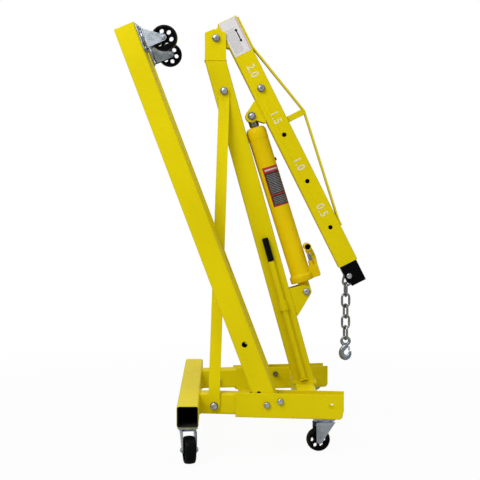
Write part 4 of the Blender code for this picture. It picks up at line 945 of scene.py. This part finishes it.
def dress_welds():
    half = CROSS_SIZE / 2
    mid = BASE_Z + half
    for side, word in SIDES:
        wide = SOCKET_WIDTH / 2 - 0.0055
        face = CROSS_X + half + 0.001

        def on_face(off, z):
            spot = rail_point(side, 0, off, z)
            return Vector((face, spot.y, spot.z))

        ring = [on_face(a, mid + b) for a, b in rounded_rect(2 * wide, CROSS_SIZE, 0.006, 2)]
        weld("stub_weld_" + word, ring, WELD, "rear_cross_tube")
        start = SOCKET_START - 0.0005
        heights = (SOCKET_Z + SOCKET_HEIGHT - 0.008, SOCKET_Z + 0.009)
        for off, where in ((wide + 0.001, "out"), (-wide - 0.001, "in")):
            seam = [rail_point(side, start, off, z) for z in heights]
            weld("socket_seam_%s_%s" % (where, word), seam, THIN_WELD, "leg_socket_" + word, False)
        inner = -SOCKET_WIDTH / 2 - 0.001
        beam_top = MAST_FOOT_Z - 0.008
        beam_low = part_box("mast_crossmember")[0].z

        def on_wall(x, z):
            at = (x - (CROSS_X + half) + inner * math.sin(SPLAY)) / math.cos(SPLAY)
            return rail_point(side, at, inner, z)

        beam = []
        for a, b in rounded_rect(0.066, beam_top - beam_low, 0.006, 2):
            beam.append(on_wall(FOOT_X + a, (beam_top + beam_low) / 2 + b))
        weld("crossmember_weld_" + word, beam, WELD, "mast_crossmember")

    foot = Vector((FOOT_X, 0, MAST_FOOT_Z + 0.0008))
    stretch = 1 / MAST_UP.z
    ring = [foot + X * (a * stretch) + Y * b for a, b in rounded_rect(MAST_SIZE, MAST_SIZE, 0.006, 2)]
    weld("mast_foot_weld", ring, HEAVY_WELD, "mast_crossmember")
    shoe = rounded_rect(MAST_SIZE * stretch + 0.010, MAST_SIZE + 0.010, 0.004)
    plate = soften(extrude("mast_foot_plate", shoe, (foot, X, Y, Z), -0.0050, 0.0002), 0.0008)
    paint(plate, finish_for("mast_crossmember"))
    adds_to(plate, "mast_crossmember")
    low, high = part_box("mast_head")
    middle = (low + high) / 2
    square = rounded_rect(MAST_SIZE, MAST_SIZE, 0.006, 2)
    ring = [Vector((middle.x + a * stretch, b, low.z)) for a, b in square]
    weld("mast_head_weld", ring, HEAD_WELD, "mast_head")
    floor = -BOOM_DEPTH / 2
    deck = BOOM_DEPTH / 2
    for way, word in SIDES:
        y = way * (BRACKET_SIDE + 0.0008)
        line = [boom_point(BRACKET_AT + 0.040, floor, y), boom_point(BRACKET_AT - 0.040, floor, y)]
        weld("ram_bracket_weld_" + word, line, BRACKET_WELD, "boom_ram_bracket", False)
        y = way * TRUSS_WIDTH / 2
        line = [boom_point(TRUSS_END - 0.004, deck, y), boom_point(TRUSS_END - 0.022, deck, y)]
        weld("truss_front_weld_" + word, line, THIN_WELD, "boom_truss", False)
        line = [boom_point(TRUSS_START + 0.004, deck, y), boom_point(TRUSS_START + 0.100, deck, y)]
        weld("truss_rear_weld_" + word, line, THIN_WELD, "boom_truss", False)
        y = way * (TRUSS_WIDTH / 2 - 0.004)
        line = [boom_point(TRUSS_APEX + along, deck + 0.001, y) for along in (-0.010, 0.010)]
        weld("truss_strut_weld_" + word, line, THIN_WELD, "boom_truss", False)
        y = way * (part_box("ram_foot_bracket")[1].y + 0.0004)
        front = MAST_SIZE / 2 + 0.0003
        line = []
        for z in (RAM_FOOT.z + 0.006, RAM_FOOT.z - 0.080):
            at = (z - MAST_FOOT_Z - front * MAST_FRONT.z) / MAST_UP.z
            line.append(Vector((FOOT_X, 0, MAST_FOOT_Z)) + MAST_UP * at + MAST_FRONT * front + Y * y)
        weld("ram_foot_weld_" + word, line, BRACKET_WELD, "ram_foot_bracket", False)


# Plates and numbers
def dress_plates():
    """Blank white plate at the tail of the boom, with plain rules, a barbell mark and no words."""
    face = -BOOM_WIDTH / 2
    length = 0.126
    width = 0.064
    middle = boom_point(BOOM_REACH + BOOM_TAIL - 0.002 - length / 2, 0, face)
    plane = (middle, BOOM_OUT, BOOM_TOP, -Y)
    plate = extrude("boom_plate", rounded_rect(length, width, 0.002), plane, 0.0001, 0.0004)
    paint(plate, sticker("boom_plate_film", (0.74, 0.73, 0.73)))
    adds_to(plate, "boom_tube")
    rules = []
    for i in range(7):
        spot = middle + BOOM_TOP * (-0.025 + 0.0048 * i) + BOOM_OUT * 0.012
        line = (spot, BOOM_OUT, BOOM_TOP, -Y)
        rules.append(extrude("rule", rounded_rect(0.086, 0.0011, 0.0002, 1), line, 0.0004, 0.0005))
    rows = join(*rules)
    rows.name = "boom_plate_rules"
    paint(rows, sticker("boom_plate_ink", (0.30, 0.30, 0.32)))
    adds_to(rows, "boom_tube")
    mark = (middle + BOOM_TOP * 0.0118, BOOM_OUT, BOOM_TOP, -Y)
    bar = extrude("boom_plate_mark", rounded_rect(0.040, 0.0040, 0.0010, 2), mark, 0.0004, 0.0005)
    for way in (-1, 1):
        spot = (mark[0] + BOOM_OUT * (way * 0.019), BOOM_OUT, BOOM_TOP, -Y)
        join(bar, extrude("dot", arc(0, 0, 0.0046, 0, 345, 23), spot, 0.00042, 0.00055))
    paint(bar, sticker("boom_plate_mark_ink", (0.008, 0.008, 0.009)))
    adds_to(bar, "boom_tube")
    band = (middle + BOOM_TOP * 0.0285, BOOM_OUT, BOOM_TOP, -Y)
    edge = rounded_rect(length - 0.004, 0.0040, 0.001, 2)
    stripe = extrude("boom_plate_band", edge, band, 0.0004, 0.0005)
    paint(stripe, sticker("boom_plate_band_ink", (0.62, 0.42, 0.38)))
    adds_to(stripe, "boom_tube")


def ram_patch(name, up_from, up_to, left, right, lift, material):
    """Film bent round the ram cylinder, by heights and by degrees from the right-hand side."""
    steps = 24
    inner = RAM_RADIUS + lift
    outer = inner + 0.00025
    verts = []
    faces = []
    for i in range(steps + 1):
        t = math.radians(left + (right - left) * i / steps)
        out = -Y * math.cos(t) + RAM_FRONT * math.sin(t)
        for radius, up in ((inner, up_from), (inner, up_to), (outer, up_to), (outer, up_from)):
            verts.append(RAM_FOOT + RAM_UP * up + out * radius)
    for i in range(steps):
        a = 4 * i
        b = 4 * (i + 1)
        for k in range(4):
            m = (k + 1) % 4
            faces.append((a + k, a + m, b + m, b + k))
    faces.append((0, 1, 2, 3))
    faces.append((4 * steps, 4 * steps + 1, 4 * steps + 2, 4 * steps + 3))
    patch = smooth(new_object(name, verts, faces), 40)
    paint(patch, material)
    adds_to(patch, "ram_cylinder")


def dress_ram_plate():
    """Red and black plate round the ram, with plain rules and no words."""
    red = sticker("ram_plate_red", (0.42, 0.010, 0.012))
    black = sticker("ram_plate_black", (0.018, 0.016, 0.016))
    ram_patch("ram_plate", 0.309, 0.448, -36, 70, 0.0001, red)
    ram_patch("ram_plate_upper", 0.352, 0.428, -31, 65, 0.0004, black)
    ram_patch("ram_plate_lower", 0.314, 0.348, -31, 65, 0.0004, black)
    ink = sticker("ram_plate_ink", (0.40, 0.39, 0.38))
    for i in range(19):
        up = 0.318 + 0.0056 * i
        if not 0.344 < up < 0.356:
            ram_patch("ram_plate_rule_%d" % i, up, up + 0.0011, -24, 58, 0.0007, ink)
    pale = sticker("ram_plate_heading_ink", (0.55, 0.50, 0.48))
    ram_patch("ram_plate_heading", 0.4345, 0.4405, -24, 58, 0.0004, pale)


def number(name, text, at):
    """Plain number painted on the right-hand side of the boom."""
    curve = bpy.data.curves.new(name, "FONT")
    curve.body = text
    curve.size = 0.040
    curve.extrude = 0.00012
    curve.align_x = "CENTER"
    curve.align_y = "CENTER"
    curve.space_character = 1.12
    letters = bpy.data.objects.new(name + "_curve", curve)
    bpy.context.scene.collection.objects.link(letters)
    graph = bpy.context.evaluated_depsgraph_get()
    mesh = bpy.data.meshes.new_from_object(letters.evaluated_get(graph))
    bpy.data.objects.remove(letters, do_unlink=True)
    turn = Matrix((BOOM_OUT, BOOM_TOP, -Y)).transposed().to_4x4()
    place = Matrix.Translation(boom_point(at, 0, -BOOM_WIDTH / 2 - 0.00022))
    mesh.transform(place @ turn @ Matrix.Diagonal((0.86, 1.0, 1.0, 1.0)))
    obj = bpy.data.objects.new(name, mesh)
    bpy.context.scene.collection.objects.link(obj)
    paint(obj, sticker(name + "_paint", (0.80, 0.78, 0.68), 0.45))
    adds_to(obj, "boom_tube")


def dress_numbers():
    for i, text in enumerate(("0.5", "1.0", "1.5", "2.0")):
        number("load_number_%d" % (i + 1), text, FIRST_HOLE + i * HOLE_PITCH + 0.066)


# Stage
def make_stage():
    reach = 25.0
    corners = [Vector((a * reach, b * reach, 0)) for a, b in ((-1, -1), (1, -1), (1, 1), (-1, 1))]
    floor = new_object("studio_floor", corners, [(0, 1, 2, 3)])
    s = Surface("studio_paper")
    tone = s.ramp(s.noise(3.0, 3.0), ((0.3, (0.52, 0.52, 0.52)), (0.7, (0.54, 0.54, 0.54))))
    s.set(Base_Color=tone, Roughness=0.9)
    nodes = s.tree.nodes
    path = nodes.new("ShaderNodeLightPath")
    glow = nodes.new("ShaderNodeEmission")
    glow.inputs["Color"].default_value = (1, 1, 1, 1)
    glow.inputs["Strength"].default_value = 1.0
    mixer = nodes.new("ShaderNodeMixShader")
    seen = nodes.new("ShaderNodeMath")
    seen.operation = "MULTIPLY"
    distance = nodes.new("ShaderNodeVectorMath")
    distance.operation = "LENGTH"
    s.link(s.place, distance.inputs[0])
    s.link(s.span(distance.outputs["Value"], 0.95, 1.0, 0.7, 2.6), seen.inputs[1])
    s.link(path.outputs["Is Camera Ray"], seen.inputs[0])
    s.link(seen.outputs[0], mixer.inputs["Fac"])
    s.link(s.shader.outputs[0], mixer.inputs[1])
    s.link(glow.outputs[0], mixer.inputs[2])
    s.link(mixer.outputs[0], nodes["Material Output"].inputs["Surface"])
    paint(floor, s.material)


def lamp(name, place, target, size, power):
    data = bpy.data.lights.new(name, "AREA")
    data.shape = "RECTANGLE"
    data.size, data.size_y = size
    data.energy = power
    obj = bpy.data.objects.new(name, data)
    obj.location = place
    obj.rotation_euler = (Vector(target) - Vector(place)).to_track_quat("-Z", "Y").to_euler()
    bpy.context.scene.collection.objects.link(obj)


def make_light():
    world = bpy.data.worlds.new("studio")
    bpy.context.scene.world = world
    world.use_nodes = True
    nodes = world.node_tree.nodes
    links = world.node_tree.links
    sky = nodes["Background"]
    sky.inputs["Color"].default_value = (1, 1, 1, 1)
    look = nodes.new("ShaderNodeTexCoord")
    split = nodes.new("ShaderNodeSeparateXYZ")
    level = nodes.new("ShaderNodeMapRange")
    level.inputs["From Min"].default_value = -0.2
    level.inputs["From Max"].default_value = 0.8
    level.inputs["To Min"].default_value = 0.22
    level.inputs["To Max"].default_value = 0.62
    links.new(look.outputs["Generated"], split.inputs["Vector"])
    links.new(split.outputs["Z"], level.inputs["Value"])
    links.new(level.outputs["Result"], sky.inputs["Strength"])
    white = nodes.new("ShaderNodeBackground")
    white.inputs["Color"].default_value = (1, 1, 1, 1)
    white.inputs["Strength"].default_value = 1.0
    path = nodes.new("ShaderNodeLightPath")
    mixer = nodes.new("ShaderNodeMixShader")
    links.new(path.outputs["Is Camera Ray"], mixer.inputs["Fac"])
    links.new(sky.outputs[0], mixer.inputs[1])
    links.new(white.outputs[0], mixer.inputs[2])
    links.new(mixer.outputs[0], nodes["World Output"].inputs["Surface"])
    lamp("key", (-1.9, -2.4, 3.1), (-0.2, 0.0, 1.3), (2.0, 2.0), 90)
    lamp("fill", (2.6, -3.0, 1.8), (0.1, 0.0, 0.7), (2.0, 2.4), 9)
    lamp("top", (0.2, 0.2, 3.4), (0.0, 0.0, 0.5), (2.6, 2.6), 34)


def make_camera():
    data = bpy.data.cameras.new("camera")
    data.sensor_width = 36.0
    data.lens = CAMERA_LENS
    obj = bpy.data.objects.new("camera", data)
    obj.location = CAMERA_AT
    level = math.cos(CAMERA_DOWN)
    ahead = Vector((math.sin(CAMERA_YAW) * level, math.cos(CAMERA_YAW) * level, -math.sin(CAMERA_DOWN)))
    obj.rotation_euler = ahead.to_track_quat("-Z", "Y").to_euler()
    bpy.context.scene.collection.objects.link(obj)
    bpy.context.scene.camera = obj


make_camera()
make_stage()
make_light()
bpy.context.scene.view_settings.view_transform = "Standard"
dress_plain_nodes()
dress_legs()
dress_chain()
dress_hook()
dress_casters()
dress_ram()
dress_socket()
dress_handle()
dress_welds()
dress_plates()
dress_ram_plate()
dress_numbers()
